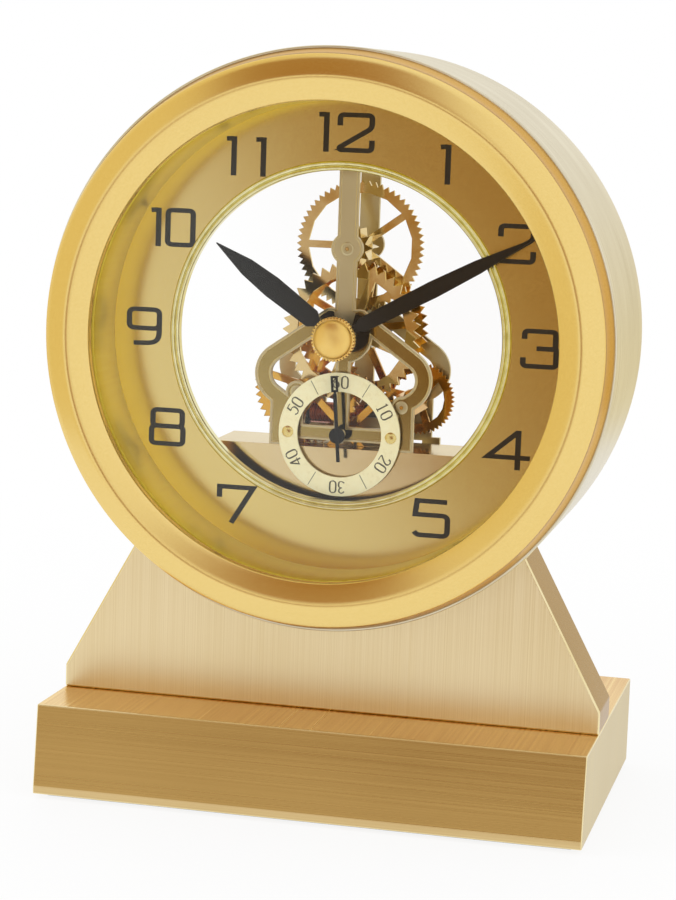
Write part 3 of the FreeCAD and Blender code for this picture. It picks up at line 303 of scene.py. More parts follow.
def turned(name, corners, sides=192, centre=(0, 0), closed=True):
    """Draws a circle out through corners of (radius, depth); an open shape is capped at its two ends."""
    bpy.ops.object.select_all(action="DESELECT")
    (radius, depth), *others = corners
    bpy.ops.mesh.primitive_circle_add(vertices=sides, radius=radius * MM,
                                      fill_type="NOTHING" if closed else "NGON",
                                      location=at(centre[0], depth, centre[1]),
                                      rotation=(math.radians(90), 0, 0))
    piece = bpy.context.active_object
    piece.name = name
    bpy.ops.object.transform_apply(location=True, rotation=True, scale=True)
    bpy.ops.object.mode_set(mode="EDIT")
    bpy.ops.mesh.select_mode(type="VERT")
    bpy.ops.mesh.select_all(action="SELECT")
    for next_radius, next_depth in others + ([corners[0]] if closed else []):
        bpy.ops.mesh.extrude_region_move(
            TRANSFORM_OT_translate={"value": (0, (next_depth - depth) * MM, 0)})
        growth = next_radius / radius
        bpy.ops.transform.resize(value=(growth, 1, growth),
                                 center_override=at(centre[0], next_depth, centre[1]))
        radius, depth = next_radius, next_depth
    if not closed:
        bpy.ops.mesh.edge_face_add()
    bpy.ops.mesh.select_all(action="SELECT")
    bpy.ops.mesh.remove_doubles(threshold=1e-6)
    bpy.ops.mesh.normals_make_consistent(inside=False)
    bpy.ops.object.mode_set(mode="OBJECT")
    return piece


def arc(centre_radius, centre_depth, radius, start, end, steps):
    """Corners of a rounded profile, from one angle to another; 90 degrees points to the front."""
    corners = []
    for step in range(steps + 1):
        angle = math.radians(start + (end - start) * step / steps)
        corners.append((centre_radius + radius * math.cos(angle), centre_depth - radius * math.sin(angle)))
    return corners


def smooth(piece, degrees=35, even=True):
    """Soft shading. Even keeps flat faces flat: the larger a face, the more it keeps its own light."""
    select_only(piece)
    bpy.ops.object.shade_smooth_by_angle(angle=math.radians(degrees))
    if not even:
        return
    modifier = piece.modifiers.new("even_light", "WEIGHTED_NORMAL")
    modifier.keep_sharp = True
    modifier.weight = 100
    bpy.ops.object.modifier_apply(modifier=modifier.name)


def edit_faces(piece, wanted):
    """Opens a piece for editing with only the wanted faces selected."""
    select_only(piece)
    bpy.ops.object.mode_set(mode="EDIT")
    bpy.ops.mesh.select_mode(type="FACE")
    bpy.ops.mesh.select_all(action="DESELECT")
    bpy.ops.object.mode_set(mode="OBJECT")
    for face in piece.data.polygons:
        face.select = wanted(face)
    print(piece.name, "has", sum(face.select for face in piece.data.polygons), "faces chosen")
    bpy.ops.object.mode_set(mode="EDIT")


def outward_of(face, rise=0.0):
    """How far a face lies from an axis, in millimetres."""
    return math.hypot(face.center.x, face.center.z - (AXIS_HEIGHT + rise) * MM) / MM


print("half a bead in four steps:", [(round(r, 2), round(d, 2)) for r, d in arc(10, 0, 1, 180, 0, 4)])

# %% Copy a part, and round its edges
def copy_of(node, name):
    """A copy of a part's mesh, its loose triangles merged into whole flat faces."""
    select_only(frame["nodes"][node])
    bpy.ops.object.duplicate()
    piece = bpy.context.active_object
    piece.name = name
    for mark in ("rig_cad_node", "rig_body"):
        del piece[mark]
    piece.parent = None
    piece.data.materials.clear()
    bpy.ops.object.mode_set(mode="EDIT")
    bpy.ops.mesh.select_all(action="SELECT")
    bpy.ops.mesh.remove_doubles(threshold=2e-6)
    bpy.ops.mesh.dissolve_limited(angle_limit=math.radians(0.5))
    bpy.ops.mesh.normals_make_consistent(inside=False)
    bpy.ops.object.mode_set(mode="OBJECT")
    return piece


def round_edges(piece, width, steps=2, angle=30, edge_material=-1, even=True):
    """Bevels every edge sharper than the angle; the new faces may take a material slot of their own."""
    modifier = piece.modifiers.new("round_edges", "BEVEL")
    modifier.width = width * MM
    modifier.segments = steps
    modifier.limit_method = "ANGLE"
    modifier.angle_limit = math.radians(angle)
    modifier.material = edge_material
    select_only(piece)
    bpy.ops.object.modifier_apply(modifier=modifier.name)
    smooth(piece, even=even)


def fix(piece, body, slot, materials, *nodes):
    """Paints a piece, lets it ride on a body, and hides the parts it stands for."""
    for index, material in enumerate(materials):
        if index < len(piece.data.materials):
            piece.data.materials[index] = material
        else:
            piece.data.materials.append(material)
    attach(piece, body)
    if nodes:
        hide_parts(*nodes)
    print(piece.name, "on", body, "-", len(piece.data.polygons), "faces")
    return piece


def dressed(node, body, slot, materials, width, steps=2):
    """A copy of one part with rounded edges that stands for it; a second material goes on the edges."""
    piece = copy_of(node, node + "_dressed")
    for material in materials:
        piece.data.materials.append(material)
    round_edges(piece, width, steps, edge_material=1 if len(materials) > 1 else -1)
    return fix(piece, body, slot, materials, node)


print("the packed plinth has", len(frame["nodes"]["plinth"].data.polygons), "loose triangles")

# %% [markdown]
# ## Plinth and stand
# The plinth is a brushed block. Its front is brushed from side to side and its top from front to back, so
# the two meet in a crisp line where the light changes. The faces are told apart by the way they point, and
# each way takes its own copy of the one gold: painted shade on the front, painted light on the top and the
# sides, and a painted highlight on the low strip along the bottom.
# The block could be made from a cube, but the imported part already has the right slopes, so its own mesh
# is copied, merged and given rounded edges. The stand is made in the same way.

# %% Plinth
FACING_UP, FACING_ASIDE = 0.9, 0.9
LAND_TOP = 4.0
PLINTH_LIT_AND_SHADED_FINISHES = [plinth_front_gold_painted_shade, plinth_top_gold_painted_light, plinth_side_gold_painted_light, plate_edge, land_gold_painted_highlight]
plinth = copy_of("plinth", "plinth_block")
for material in PLINTH_LIT_AND_SHADED_FINISHES:
    plinth.data.materials.append(material)
# the way a face points picks its copy of the gold: painted light on the top and sides, a painted highlight on
# the low strip, painted shade on the front
for face in plinth.data.polygons:
    if face.normal.z > FACING_UP:
        face.material_index = 1
    elif abs(face.normal.x) > FACING_ASIDE:
        face.material_index = 2
    elif face.center.z < LAND_TOP * MM:
        face.material_index = 4
round_edges(plinth, 0.3, 2, 20, edge_material=3)
fix(plinth, "clock", "gold_plate", PLINTH_LIT_AND_SHADED_FINISHES, "plinth")

# %% Felt under the plinth
dressed("felt_pad", "clock", "felt", [felt], 0.3)

# %% Stand
SIDE_OF_STAND = 0.5
STAND_FINISHES_WITH_PAINTED_SHADE = [stand_gold, plate_edge, stand_side_gold_painted_shade]
stand = copy_of("stand_plate", "stand")
for material in STAND_FINISHES_WITH_PAINTED_SHADE:
    stand.data.materials.append(material)
# faces turned to the side take the darker copy of the gold, a painted shade
for face in stand.data.polygons:
    face.material_index = 2 if abs(face.normal.x) > SIDE_OF_STAND else 0
round_edges(stand, 0.5, 2, edge_material=1)
fix(stand, "clock", "gold_plate", STAND_FINISHES_WITH_PAINTED_SHADE, "stand_plate")

# %% [markdown]
# ## Case
# The case is a champagne drum, brushed round its outside, and a gold bezel pressed into its front. The
# bezel is turned: a narrow lip holds the glass, two shallow cones meet at a crest, and behind the outer
# edge it flares out to meet the drum. Both could be cut from thick tubes. Drawing one profile round an
# axis is shorter, and gives even rings whose edges stay crisp, as a lathe does.

# %% Drum
case = turned("case_drum", [(77.17, 6.3), (77.17, 60.5), (75.2, 60.5), (75.2, 6.3)])
round_edges(case, 0.45, 3)
fix(case, "clock", "champagne_metal", [champagne], "case_band")

# %% Bezel
WALL_RADIUS, GROOVE_RADIUS, RIM_RADIUS = 63.2, 65.2, 74.95
bezel = turned("bezel_ring", [
    (63.0, 2.6), (63.0, 0.4), (63.2, 0.02), (64.6, -0.55), (66.2, -1.18), (67.5, -1.66), (68.3, -1.94),
    (69.0, -2.06), (69.7, -1.94), (70.5, -1.66), (71.8, -1.18), (73.4, -0.55), (74.7, 0.02), (75.0, 0.4),
    (75.0, 1.3), (75.25, 2.6), (75.8, 4.6), (76.6, 6.2), (75.05, 6.3), (75.05, 22.45), (WALL_RADIUS, 22.45),
    (WALL_RADIUS, 4.8), (GROOVE_RADIUS, 4.8), (GROOVE_RADIUS, 2.6)])
# inner wall and groove: a brighter yellow copy of the gold, a painted reflection of the dial; outer side
# behind the edge: a darker orange copy, a painted shade
for face in bezel.data.polygons:
    behind = face.center.y / MM - FRONT_EDGE
    if outward_of(face) < GROOVE_RADIUS and behind > 2.5:
        face.material_index = 1
    elif outward_of(face) > RIM_RADIUS and behind > 0.5:
        face.material_index = 2
BEZEL_FINISHES_WITH_PAINTED_LIGHT = [bezel_gold, wall_gold_painted_reflection, rim_gold_painted_shade]
for material in BEZEL_FINISHES_WITH_PAINTED_LIGHT:
    bezel.data.materials.append(material)
round_edges(bezel, 0.12, 2, 40, even=False)
fix(bezel, "clock", "gold_plate", BEZEL_FINISHES_WITH_PAINTED_LIGHT, "bezel")

# %% Front glass
glass = turned("glass_disc", [(GROOVE_RADIUS - 0.1, 2.7), (GROOVE_RADIUS - 0.1, 4.7)], closed=False)
fix(glass, "clock", "clear_glass", [glass_material], "front_glass")

# %% [markdown]
# ## Dial
# The dial is a satin ring with a bright trim of two beads round its opening. The beads could be two
# torus rings, but a profile of two arcs keeps them one piece, with a clean valley between. The dial is
# smoothed at a small angle only, so that its wide flat face stays flat to the light.

# %% Dial ring
DIAL_DEPTH = 22.5
DIAL_FLATNESS = 8
dial = turned("dial_face", [
    (47.0, DIAL_DEPTH), (75.05, DIAL_DEPTH), (75.05, 24.5), (44.9, 24.5), (44.9, 23.0)])
smooth(dial, DIAL_FLATNESS)
fix(dial, "clock", "dial_metal", [dial_satin], "dial_ring")

# %% Bead trim
trim = turned("dial_trim", [(44.6, 24.4)] + arc(45.25, 22.3, 0.65, 180, 20, 7)
              + arc(46.55, 22.4, 0.62, 160, 0, 7) + [(47.17, 22.9)])
smooth(trim)
fix(trim, "clock", "dial_metal", [trim_bright])

# %% [markdown]
# ## Numerals
# The hours are printed in square, open figures. Each one is a pen stroke: a path of corners, a radius at
# each corner, and an even width. The stroke's outline is worked out on both sides of the path and filled
# as a flat curve, then made a mesh and laid on the dial. The six is left off, as the seconds ring hangs
# in its place.

# %% The outline of a pen stroke
CORNER_STEPS = 5
MITRE_LIMIT = 0.4


def softened(points, radius, closed):
    """Corners cut back by the radius and replaced by a short curve."""
    path = [Vector(p) for p in points]
    count = len(path)
    result = []
    for index, corner in enumerate(path):
        if not radius or not closed and index in (0, count - 1):
            result.append(corner)
            continue
        before, after = path[index - 1], path[(index + 1) % count]
        cut_back = min(radius, (before - corner).length / 2, (after - corner).length / 2)
        start = corner + (before - corner).normalized() * cut_back
        end = corner + (after - corner).normalized() * cut_back
        for step in range(CORNER_STEPS + 1):
            share = step / CORNER_STEPS
            result.append(start.lerp(corner, share).lerp(corner.lerp(end, share), share))
    return result


def stroke_outlines(points, width, closed):
    """One outline round an open path, or two round a closed one."""
    left, right = [], []
    count = len(points)
    for index, point in enumerate(points):
        ways = []
        if closed or index > 0:
            ways.append((point - points[index - 1]).normalized())
        if closed or index < count - 1:
            ways.append((points[(index + 1) % count] - point).normalized())
        way = sum(ways, Vector((0, 0))).normalized()
        across = Vector((-way.y, way.x))
        mitre = width / 2 / max(MITRE_LIMIT, across.dot(Vector((-ways[0].y, ways[0].x))))
        left.append(point + across * mitre)
        right.append(point - across * mitre)
    return [left, right] if closed else [left + right[::-1]]


print("points along a path with one soft corner:", len(softened([(0, 0), (4, 0), (4, 4)], 1.0, False)))

# %% Draw a figure from its strokes
# how wide a pen draws a level and an upright stroke
HOUR_PEN, SECONDS_PEN, TICK_PEN = (1.25, 1.5), (0.22, 0.42), (0.14, 0.16)
# each stroke is a little thinner than the one before, so that no two faces lie in one plane
STROKE_STEP = 0.002


def draw_strokes(name, strokes, pen, thickness, place, degrees=0.0):
    """Each stroke is (points, corner radius, closed)."""
    thin, thick = pen
    stretch = thick / thin
    pieces = []
    for number, (points, radius, closed) in enumerate(strokes):
        squeezed = [(x / stretch, z) for x, z in points]
        path = softened(squeezed, radius, closed)
        flat = bpy.data.curves.new(f"{name}_stroke_{number}", "CURVE")
        flat.dimensions = "2D"
        flat.fill_mode = "BOTH"
        flat.extrude = (thickness / 2 - STROKE_STEP * number) * MM
        for outline in stroke_outlines(path, thin, closed):
            spline = flat.splines.new("POLY")
            spline.points.add(len(outline) - 1)
            spline.use_cyclic_u = True
            for target, point in zip(spline.points, outline):
                target.co = (point.x * stretch * MM, point.y * MM, 0, 1)
        piece = bpy.data.objects.new(flat.name, flat)
        bpy.context.scene.collection.objects.link(piece)
        pieces.append(piece)
    select_only(*pieces)
    bpy.ops.object.convert(target="MESH")
    bpy.ops.object.join()
    figure = bpy.context.active_object
    figure.name = name
    turn = Matrix.Rotation(math.radians(degrees), 4, "Y") @ Matrix.Rotation(math.radians(90), 4, "X")
    figure.matrix_world = Matrix.Translation(place) @ turn
    bpy.ops.object.transform_apply(location=True, rotation=True, scale=True)
    return figure


print("pens, level and upright, in millimetres:", HOUR_PEN, SECONDS_PEN, TICK_PEN)

# %% The hour figures
ONE = [([(-2.1, 4.5), (-0.2, 4.6)], 0, False), ([(0, 5.15), (0, -5.3)], 0, False)]
TWO = [([(-4.4, 1.8), (-4.4, 4.65), (4.3, 4.65), (4.3, 1.3), (-4.5, -4.0), (-4.3, -4.65), (4.4, -4.65),
         (4.4, -1.9)], 1.0, False)]
THREE = [([(-4.2, 2.5), (-4.2, 4.65), (4.1, 4.65), (4.1, 0.1), (4.4, -0.1), (4.4, -4.65), (-4.4, -4.65),
           (-4.4, -2.4)], 0.9, False), ([(-0.9, 0.1), (4.0, 0.1)], 0, False)]
FOUR = [([(2.7, 5.3), (2.7, -5.3)], 0, False), ([(2.6, 4.9), (-5.4, -2.0), (6.0, -2.0)], 0, False)]
FIVE = [([(4.2, 4.65), (-4.0, 4.65), (-4.4, 0.9), (1.0, 0.9)], 0, False),
        ([(0.5, 0.9), (4.5, 0.9), (4.5, -4.65), (-3.7, -4.65), (-4.6, -3.8)], 1.3, False)]
SEVEN = [([(-4.6, 1.7), (-4.6, 4.65), (4.9, 4.65), (-1.1, -5.3)], 0, False)]
EIGHT = [([(-4.2, 4.65), (4.2, 4.65), (4.2, 0.2), (-4.2, 0.2)], 1.1, True),
         ([(-4.5, 0.2), (4.5, 0.2), (4.5, -4.65), (-4.5, -4.65)], 1.1, True)]
NINE = [([(-4.3, 4.65), (4.3, 4.65), (4.3, -0.5), (-4.3, -0.5)], 1.4, True),
        ([(4.3, 2.0), (4.3, -4.4), (-2.9, -4.65)], 2.6, False)]
ZERO = [([(-3.55, 4.65), (3.55, 4.65), (3.55, -4.65), (-3.55, -4.65)], 1.1, True)]


def side_by_side(*placed):
    """Strokes of several figures, each moved sideways."""
    return [([(x + shift, z) for x, z in points], radius, closed)
            for shift, figure in placed for points, radius, closed in figure]


HOURS = {
    12: side_by_side((-5.2, ONE), (2.9, TWO)), 1: side_by_side((0.7, ONE)), 2: TWO, 3: THREE, 4: FOUR,
    5: FIVE, 7: SEVEN, 8: EIGHT, 9: NINE, 10: side_by_side((-3.9, ONE), (2.3, ZERO)),
    11: side_by_side((-3.2, ONE), (5.0, ONE)),
}
DEGREES_PER_HOUR = 30
FIGURE_RADIUS, FIGURE_THICKNESS = 54.7, 0.12
for hour, strokes in HOURS.items():
    figure = draw_strokes(f"figure_{hour}", strokes, HOUR_PEN, FIGURE_THICKNESS,
                          on_ring(FIGURE_RADIUS, hour * DEGREES_PER_HOUR, DIAL_DEPTH - FIGURE_THICKNESS / 2))
    fix(figure, "clock", "black_paint", [numeral_ink])

# %% [markdown]
# ## Movement frame
# The plates are stamped and their edges polished, so each flat is satin and its border shines. The bevel
# that rounds an edge gives its new faces the polished finish. The floor of the sunk channel in the arms of
# the front plate is painted darker: a painted shade and dark reflection in the recess.

# %% Plates, posts and housing
BORDER, CHANNEL_WALL, CHANNEL_DEPTH, ARM_TOP = 0.6, 0.12, 0.22, 8.0
FACING_FRONT = 0.9
PLATE_FINISHES_WITH_PAINTED_SHADE = [plate_satin, plate_edge, plate_channel_painted_shade]
front_plate = copy_of("front_plate", "pressed_front_plate")
for material in PLATE_FINISHES_WITH_PAINTED_SHADE:
    front_plate.data.materials.append(material)
edit_faces(front_plate, lambda face: face.normal.y < -FACING_FRONT)
bpy.ops.mesh.inset(thickness=BORDER * MM, depth=0)
bpy.ops.mesh.inset(thickness=CHANNEL_WALL * MM, depth=-CHANNEL_DEPTH * MM)
bpy.ops.object.mode_set(mode="OBJECT")
# channel floors below the arm top take the darker finish, a painted shade and dark reflection in the recess
for face in front_plate.data.polygons:
    rise = face.center.z / MM - AXIS_HEIGHT
    face.material_index = 2 if face.select and rise < ARM_TOP else 0
round_edges(front_plate, 0.2, 2, edge_material=1)
fix(front_plate, "clock", "movement_brass", PLATE_FINISHES_WITH_PAINTED_SHADE, "front_plate")
for node in ("rear_plate", "seconds_cock"):
    dressed(node, "clock", "movement_brass", [plate_satin, plate_edge], 0.28)
for node in ("dial_standoff", "top_pillar", "rear_spacers", "seconds_ring_posts"):
    dressed(node, "clock", "movement_brass", [brown_polish], 0.15)
dressed("lower_housing", "clock", "gold_plate", [housing_polish, plate_edge], 0.35)

# %% [markdown]
# A bushing is a small hard ring pressed into a plate to carry a pivot. A hole in the plate would show
# none of its steps, so each bushing is turned from a profile with a rim, a sunk face and a bore.

# %% Bushings
def bushing(name, across, rise, depth, out, radius=1.8):
    """A small ring pressed round a pivot; out is -1 at the front of a plate and 1 at its back."""
    ring = turned(name, [(radius, depth - 0.25 * out), (radius, depth + 0.02 * out),
                         (radius - 0.12, depth + 0.08 * out), (1.15, depth + 0.08 * out),
                         (1.05, depth - 0.04 * out), (0.9, depth - 0.04 * out), (0.82, depth + 0.06 * out),
                         (0.62, depth + 0.06 * out), (0.62, depth - 0.25 * out)], 40, (across, rise))
    smooth(ring)
    return fix(ring, "clock", "movement_brass", [plate_satin])


PIVOTS = {"upper": (0, 23.4), "third": (-12.8, -16.2), "step": (16.6, -18.8)}
for word, (across, rise) in PIVOTS.items():
    bushing(f"front_{word}_bushing", across, rise, 29.0, -1)
    bushing(f"rear_{word}_bushing", across, rise, 56.5, 1)
bushing("rear_rotor_bushing", 9.2, -27.68, 56.5, 1)

# %% [markdown]
# The motor and the battery sit low and mostly out of sight. They are plain stamped, wound and moulded
# parts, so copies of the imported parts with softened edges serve, each in its own finish.

# %% Motor and battery
dressed("stator", "clock", "motor_iron", [iron], 0.1)
dressed("coil_bobbin", "clock", "dark_plastic", [dark_plastic], 0.1)
dressed("coil", "clock", "copper_wire", [copper], 0.1)
dressed("battery", "clock", "battery_skin", [battery_skin], 0.2)
dressed("contact_negative", "clock", "contact_metal", [nickel], 0.05)
dressed("contact_positive", "clock", "contact_metal", [nickel], 0.05)
dressed("battery_door", "battery_door", "dark_plastic", [dark_plastic], 0.15)

# %% [markdown]
# ## Wheels
# The wheels are cut from pale brass and polished, so that they pick up each other's gold and brown. The
# hour and minute wheels keep the pale brass; the others are painted a richer gold, a painted reflection of
# the gold round them. They could be drawn again tooth by tooth, but the imported wheels already mesh, and a
# tooth that is moved would no longer do so. Copies keep every tooth in its place, and only the sharp edges
# are taken off.

# %% Wheels and arbors
WHEELS = {"hour_wheel": "hour", "minute_wheel": "motion", "centre_wheel": "centre",
          "seconds_arbor": "seconds", "third_wheel": "third", "step_wheel": "step"}
PALE_WHEELS = ("hour_wheel", "minute_wheel")
# wheels outside PALE_WHEELS take the richer gold, a painted reflection of the gold round them
for node, body in WHEELS.items():
    dressed(node, body, "wheel_brass", [wheel_polish if node in PALE_WHEELS else brass_painted_gold_reflection], 0.08, 1)
dressed("minute_arbor", "minute", "arbor_steel", [steel], 0.05, 1)
dressed("clutch_spring", "minute", "arbor_steel", [steel], 0.05, 1)
dressed("rotor", "rotor", "motor_iron", [iron], 0.05, 1)
dressed("setting_knob", "minute", "dark_plastic", [dark_plastic], 0.2)

# %% [markdown]
# ## Hands
# The hands are stamped thin and painted matt black, with a faint sheen along their edges. A domed gold nut
# with a finely knurled rim holds them. The knurl is cut by pushing every second face of the rim inwards.

# %% Hands
dressed("hour_hand", "hour", "black_paint", [hand_black], 0.12)
dressed("minute_hand", "minute", "black_paint", [hand_black], 0.12)
dressed("seconds_hand", "seconds", "black_paint", [hand_black], 0.06)

# %% Spine of the seconds hand
SECONDS_RISE = -27.0
SPINE_WIDTH, SPINE_LENGTH, SPINE_THICKNESS, SPINE_DEPTH = 1.0, 18.6, 0.4, 24.6
SPINE_MIDDLE, SECONDS_ANGLE = 2.1, -4.8
bpy.ops.object.select_all(action="DESELECT")
bpy.ops.mesh.primitive_cube_add(size=MM,
                                location=on_ring(SPINE_MIDDLE, SECONDS_ANGLE, SPINE_DEPTH, SECONDS_RISE),
                                rotation=(0, math.radians(SECONDS_ANGLE), 0),
                                scale=(SPINE_WIDTH, SPINE_THICKNESS, SPINE_LENGTH))
spine = bpy.context.active_object
spine.name = "seconds_spine"
bpy.ops.object.transform_apply(location=True, rotation=True, scale=True)
round_edges(spine, 0.1, 2)
fix(spine, "seconds", "black_paint", [hand_black])

# %% Hand nut
NUT_SIDES = 80
DOME_FRONT, DOME_BACK, DOME_RADIUS = 13.62, 15.75, 5.35
DOME_STEPS, DOME_STEP_DEGREES = 13, 7
KNURL_FOOT, KNURL_EDGE, KNURL_DEPTH = 5.6, 0.03, 0.45
dome = []
for step in range(DOME_STEPS):
    angle = math.radians(DOME_STEP_DEGREES * step)
    dome.append((DOME_RADIUS * math.cos(angle), DOME_BACK - (DOME_BACK - DOME_FRONT) * math.sin(angle)))
nut = turned("knurled_nut", [(4.4, 18.0), (5.7, 17.95), (5.98, 17.7), (5.98, 16.0), (5.5, 15.75)] + dome,
             NUT_SIDES, closed=False)


def every_second_side(face):
    angle = math.degrees(math.atan2(face.center.x, face.center.z - AXIS_HEIGHT * MM)) % 360
    return outward_of(face) > KNURL_FOOT and int(angle * NUT_SIDES / 360) % 2 == 0


edit_faces(nut, every_second_side)
bpy.ops.mesh.inset(thickness=KNURL_EDGE * MM, depth=-KNURL_DEPTH * MM)
bpy.ops.object.mode_set(mode="OBJECT")
smooth(nut, even=False)
fix(nut, "minute", "gold_plate", [nut_gold], "hand_nut")

# %% [markdown]
# ## Seconds ring
# A cream ring carries the seconds in tens, their tops outwards, with a fine line between them and a brass
# rivet at 15 and 45, where two posts hold it.

# %% Ring and rivets
RING_FRONT, RING_BACK = 27.0, 27.8
RING_INNER, RING_MIDDLE, RING_OUTER = 11.75, 14.4, 17.0
RING_SIDES, RIVET_SIDES = 160, 40
ring = turned("cream_ring", [
    (RING_INNER, RING_FRONT), (RING_OUTER, RING_FRONT), (RING_OUTER, RING_BACK), (RING_INNER, RING_BACK)],
    RING_SIDES, (0, SECONDS_RISE))
round_edges(ring, 0.15, 2)
fix(ring, "clock", "cream_enamel", [cream], "seconds_ring")
for side in (-1, 1):
    rivet = turned(f"ring_rivet_{'left' if side < 0 else 'right'}", [
        (1.6, RING_FRONT), (1.55, RING_FRONT - 0.15), (1.1, RING_FRONT - 0.32), (0.4, RING_FRONT - 0.4)],
        RIVET_SIDES, (side * RING_MIDDLE, SECONDS_RISE), closed=False)
    smooth(rivet)
    fix(rivet, "clock", "movement_brass", [dial_satin])

# %% [markdown]
# The seconds figures are lighter and rounder than the hours. They are drawn with the same pen, thinner,
# and each pair is turned to stand with its head outwards. Nothing but the path of each figure is new.

# %% Seconds figures
SECONDS_FIGURES = {
    "0": [([(-0.85, 1.0), (-0.5, 1.6), (0.5, 1.6), (0.85, 1.0), (0.85, -1.0), (0.5, -1.6), (-0.5, -1.6),
            (-0.85, -1.0)], 0.4, True)],
    "1": [([(-0.45, 1.2), (0.0, 1.5), (0, -1.6)], 0, False), ([(-0.5, -1.65), (0.5, -1.65)], 0, False)],
    "2": [([(-0.8, 0.8), (-0.6, 1.55), (0.3, 1.65), (0.85, 1.1), (0.6, 0.2), (-0.85, -1.6), (0.85, -1.6)],
           0.4, False)],
    "3": [([(-0.75, 1.1), (-0.4, 1.6), (0.3, 1.6), (0.75, 1.1), (0.5, 0.35), (-0.15, 0.1)], 0.35, False),
          ([(-0.15, 0.15), (0.6, 0.05), (0.85, -0.7), (0.6, -1.5), (-0.1, -1.65), (-0.8, -1.2)], 0.4, False)],
    "4": [([(0.35, 1.6), (0.35, -1.65)], 0, False), ([(0.3, 1.5), (-0.95, -0.7), (0.95, -0.7)], 0, False)],
    "5": [([(0.8, 1.55), (-0.5, 1.55), (-0.65, 0.3)], 0, False),
          ([(-0.65, 0.3), (0.0, 0.55), (0.8, 0.2), (0.85, -0.9), (0.3, -1.6), (-0.4, -1.6), (-0.85, -1.2)],
           0.4, False)],
    "6": [([(0.6, 1.6), (-0.3, 1.0), (-0.85, 0.0), (-0.8, -1.1), (-0.2, -1.65), (0.6, -1.4), (0.85, -0.6),
            (0.4, 0.1), (-0.3, 0.1), (-0.8, -0.4)], 0.4, False)],
}
print("seconds figures drawn:", " ".join(SECONDS_FIGURES))

# %% Place the seconds figures and ticks
DEGREES_PER_SECOND = 6
PRINT_THICKNESS, TICK_THICKNESS = 0.06, 0.05
HALF_GAP = 1.2
TICK = [([(0, 2.1), (0, -2.1)], 0, False)]
for seconds in (10, 20, 30, 40, 50, 60):
    tens, units = str(seconds)
    turn = seconds * DEGREES_PER_SECOND
    strokes = side_by_side((-HALF_GAP, SECONDS_FIGURES[tens]), (HALF_GAP, SECONDS_FIGURES[units]))
    place = on_ring(RING_MIDDLE, turn, RING_FRONT - PRINT_THICKNESS / 2, SECONDS_RISE)
    figure = draw_strokes(f"seconds_{seconds}", strokes, SECONDS_PEN, PRINT_THICKNESS, place, turn)
    fix(figure, "clock", "black_paint", [ring_ink])
for seconds in (5, 25, 35, 55):
    turn = seconds * DEGREES_PER_SECOND
    place = on_ring(RING_MIDDLE, turn, RING_FRONT - TICK_THICKNESS / 2, SECONDS_RISE)
    tick = draw_strokes(f"tick_{seconds}", TICK, TICK_PEN, TICK_THICKNESS, place, turn)
    fix(tick, "clock", "black_paint", [ring_ink])

# %% [markdown]
# ## Floor, light and camera
# The clock stands on a plain pale floor in soft light. Under the clock the floor keeps its shadow, and
# further out it glows up to white where it is looked at, so that it meets the white world without a line.

# %% A value that is 1 where a ray is looked along
def watched(tree, rays):
    """1 where a ray is one of these, and 0 elsewhere."""
    seen = tree.nodes.new("ShaderNodeLightPath")
    total = None
    for ray in rays:
        node = tree.nodes.new("ShaderNodeMath")
        node.use_clamp = True
        node.inputs[1].default_value = 0.0
        tree.links.new(seen.outputs[ray], node.inputs[0])
        if total is not None:
            tree.links.new(total, node.inputs[1])
        total = node.outputs["Value"]
    return total


MIRRORED_RAYS = ("Is Glossy Ray", "Is Transmission Ray")
LOOKED_AT = ("Is Camera Ray", *MIRRORED_RAYS)
print("rays that are looked along:", LOOKED_AT)

# %% Floor
FLOOR_RADIUS = 0.42
FLOOR_MIDDLE = (0, 0.1, -0.0003)
FLOOR_GREY = (0.86, 0.86, 0.86, 1)
NEAR_GLOW, FAR_GLOW = 0.86, 1.0
GLOW_START, GLOW_END = 0.12, FLOOR_RADIUS - 0.02


def pale_floor():
    bpy.ops.object.select_all(action="DESELECT")
    bpy.ops.mesh.primitive_circle_add(vertices=96, radius=FLOOR_RADIUS, fill_type="NGON",
                                      location=FLOOR_MIDDLE)
    floor = bpy.context.active_object
    floor.name = "floor"
    material, tree, shader, place = new_material("pale_floor")
    grain = stretched_noise(tree, place, (40, 40, 40), 3.0)
    tree.links.new(spread(tree, grain, 0.55, 0.65), shader.inputs["Roughness"])
    shader.inputs["Base Color"].default_value = FLOOR_GREY
    shader.inputs["Specular IOR Level"].default_value = 0.2
    glow = tree.nodes.new("ShaderNodeEmission")
    glow.inputs["Color"].default_value = (1, 1, 1, 1)
    length = tree.nodes.new("ShaderNodeVectorMath")
    length.operation = "LENGTH"
    tree.links.new(place, length.inputs[0])
    outward = spread(tree, length.outputs["Value"], NEAR_GLOW, FAR_GLOW, GLOW_START, GLOW_END)
    share = tree.nodes.new("ShaderNodeMath")
    share.operation = "MULTIPLY"
    tree.links.new(outward, share.inputs[0])
    tree.links.new(watched(tree, LOOKED_AT), share.inputs[1])
    mix = tree.nodes.new("ShaderNodeMixShader")
    tree.links.new(share.outputs["Value"], mix.inputs["Fac"])
    tree.links.new(shader.outputs["BSDF"], mix.inputs[1])
    tree.links.new(glow.outputs["Emission"], mix.inputs[2])
    tree.links.new(mix.outputs["Shader"], tree.nodes["Material Output"].inputs["Surface"])
    floor.data.materials.append(material)
    return floor


print("floor reaches out to", round(max(pale_floor().dimensions) / 2, 3), "m")

# %% [markdown]
# The world is white where it is looked at, and an even light for everything matt. In a mirror it is a
# room: white on the right and below, a warmer white on the left and behind, and dim straight in front,
# with one bright band across. Polished gold needs something dark to show its shape. Each part of the
# room is one half of all directions with a soft edge, and halves are joined by the larger or the smaller.

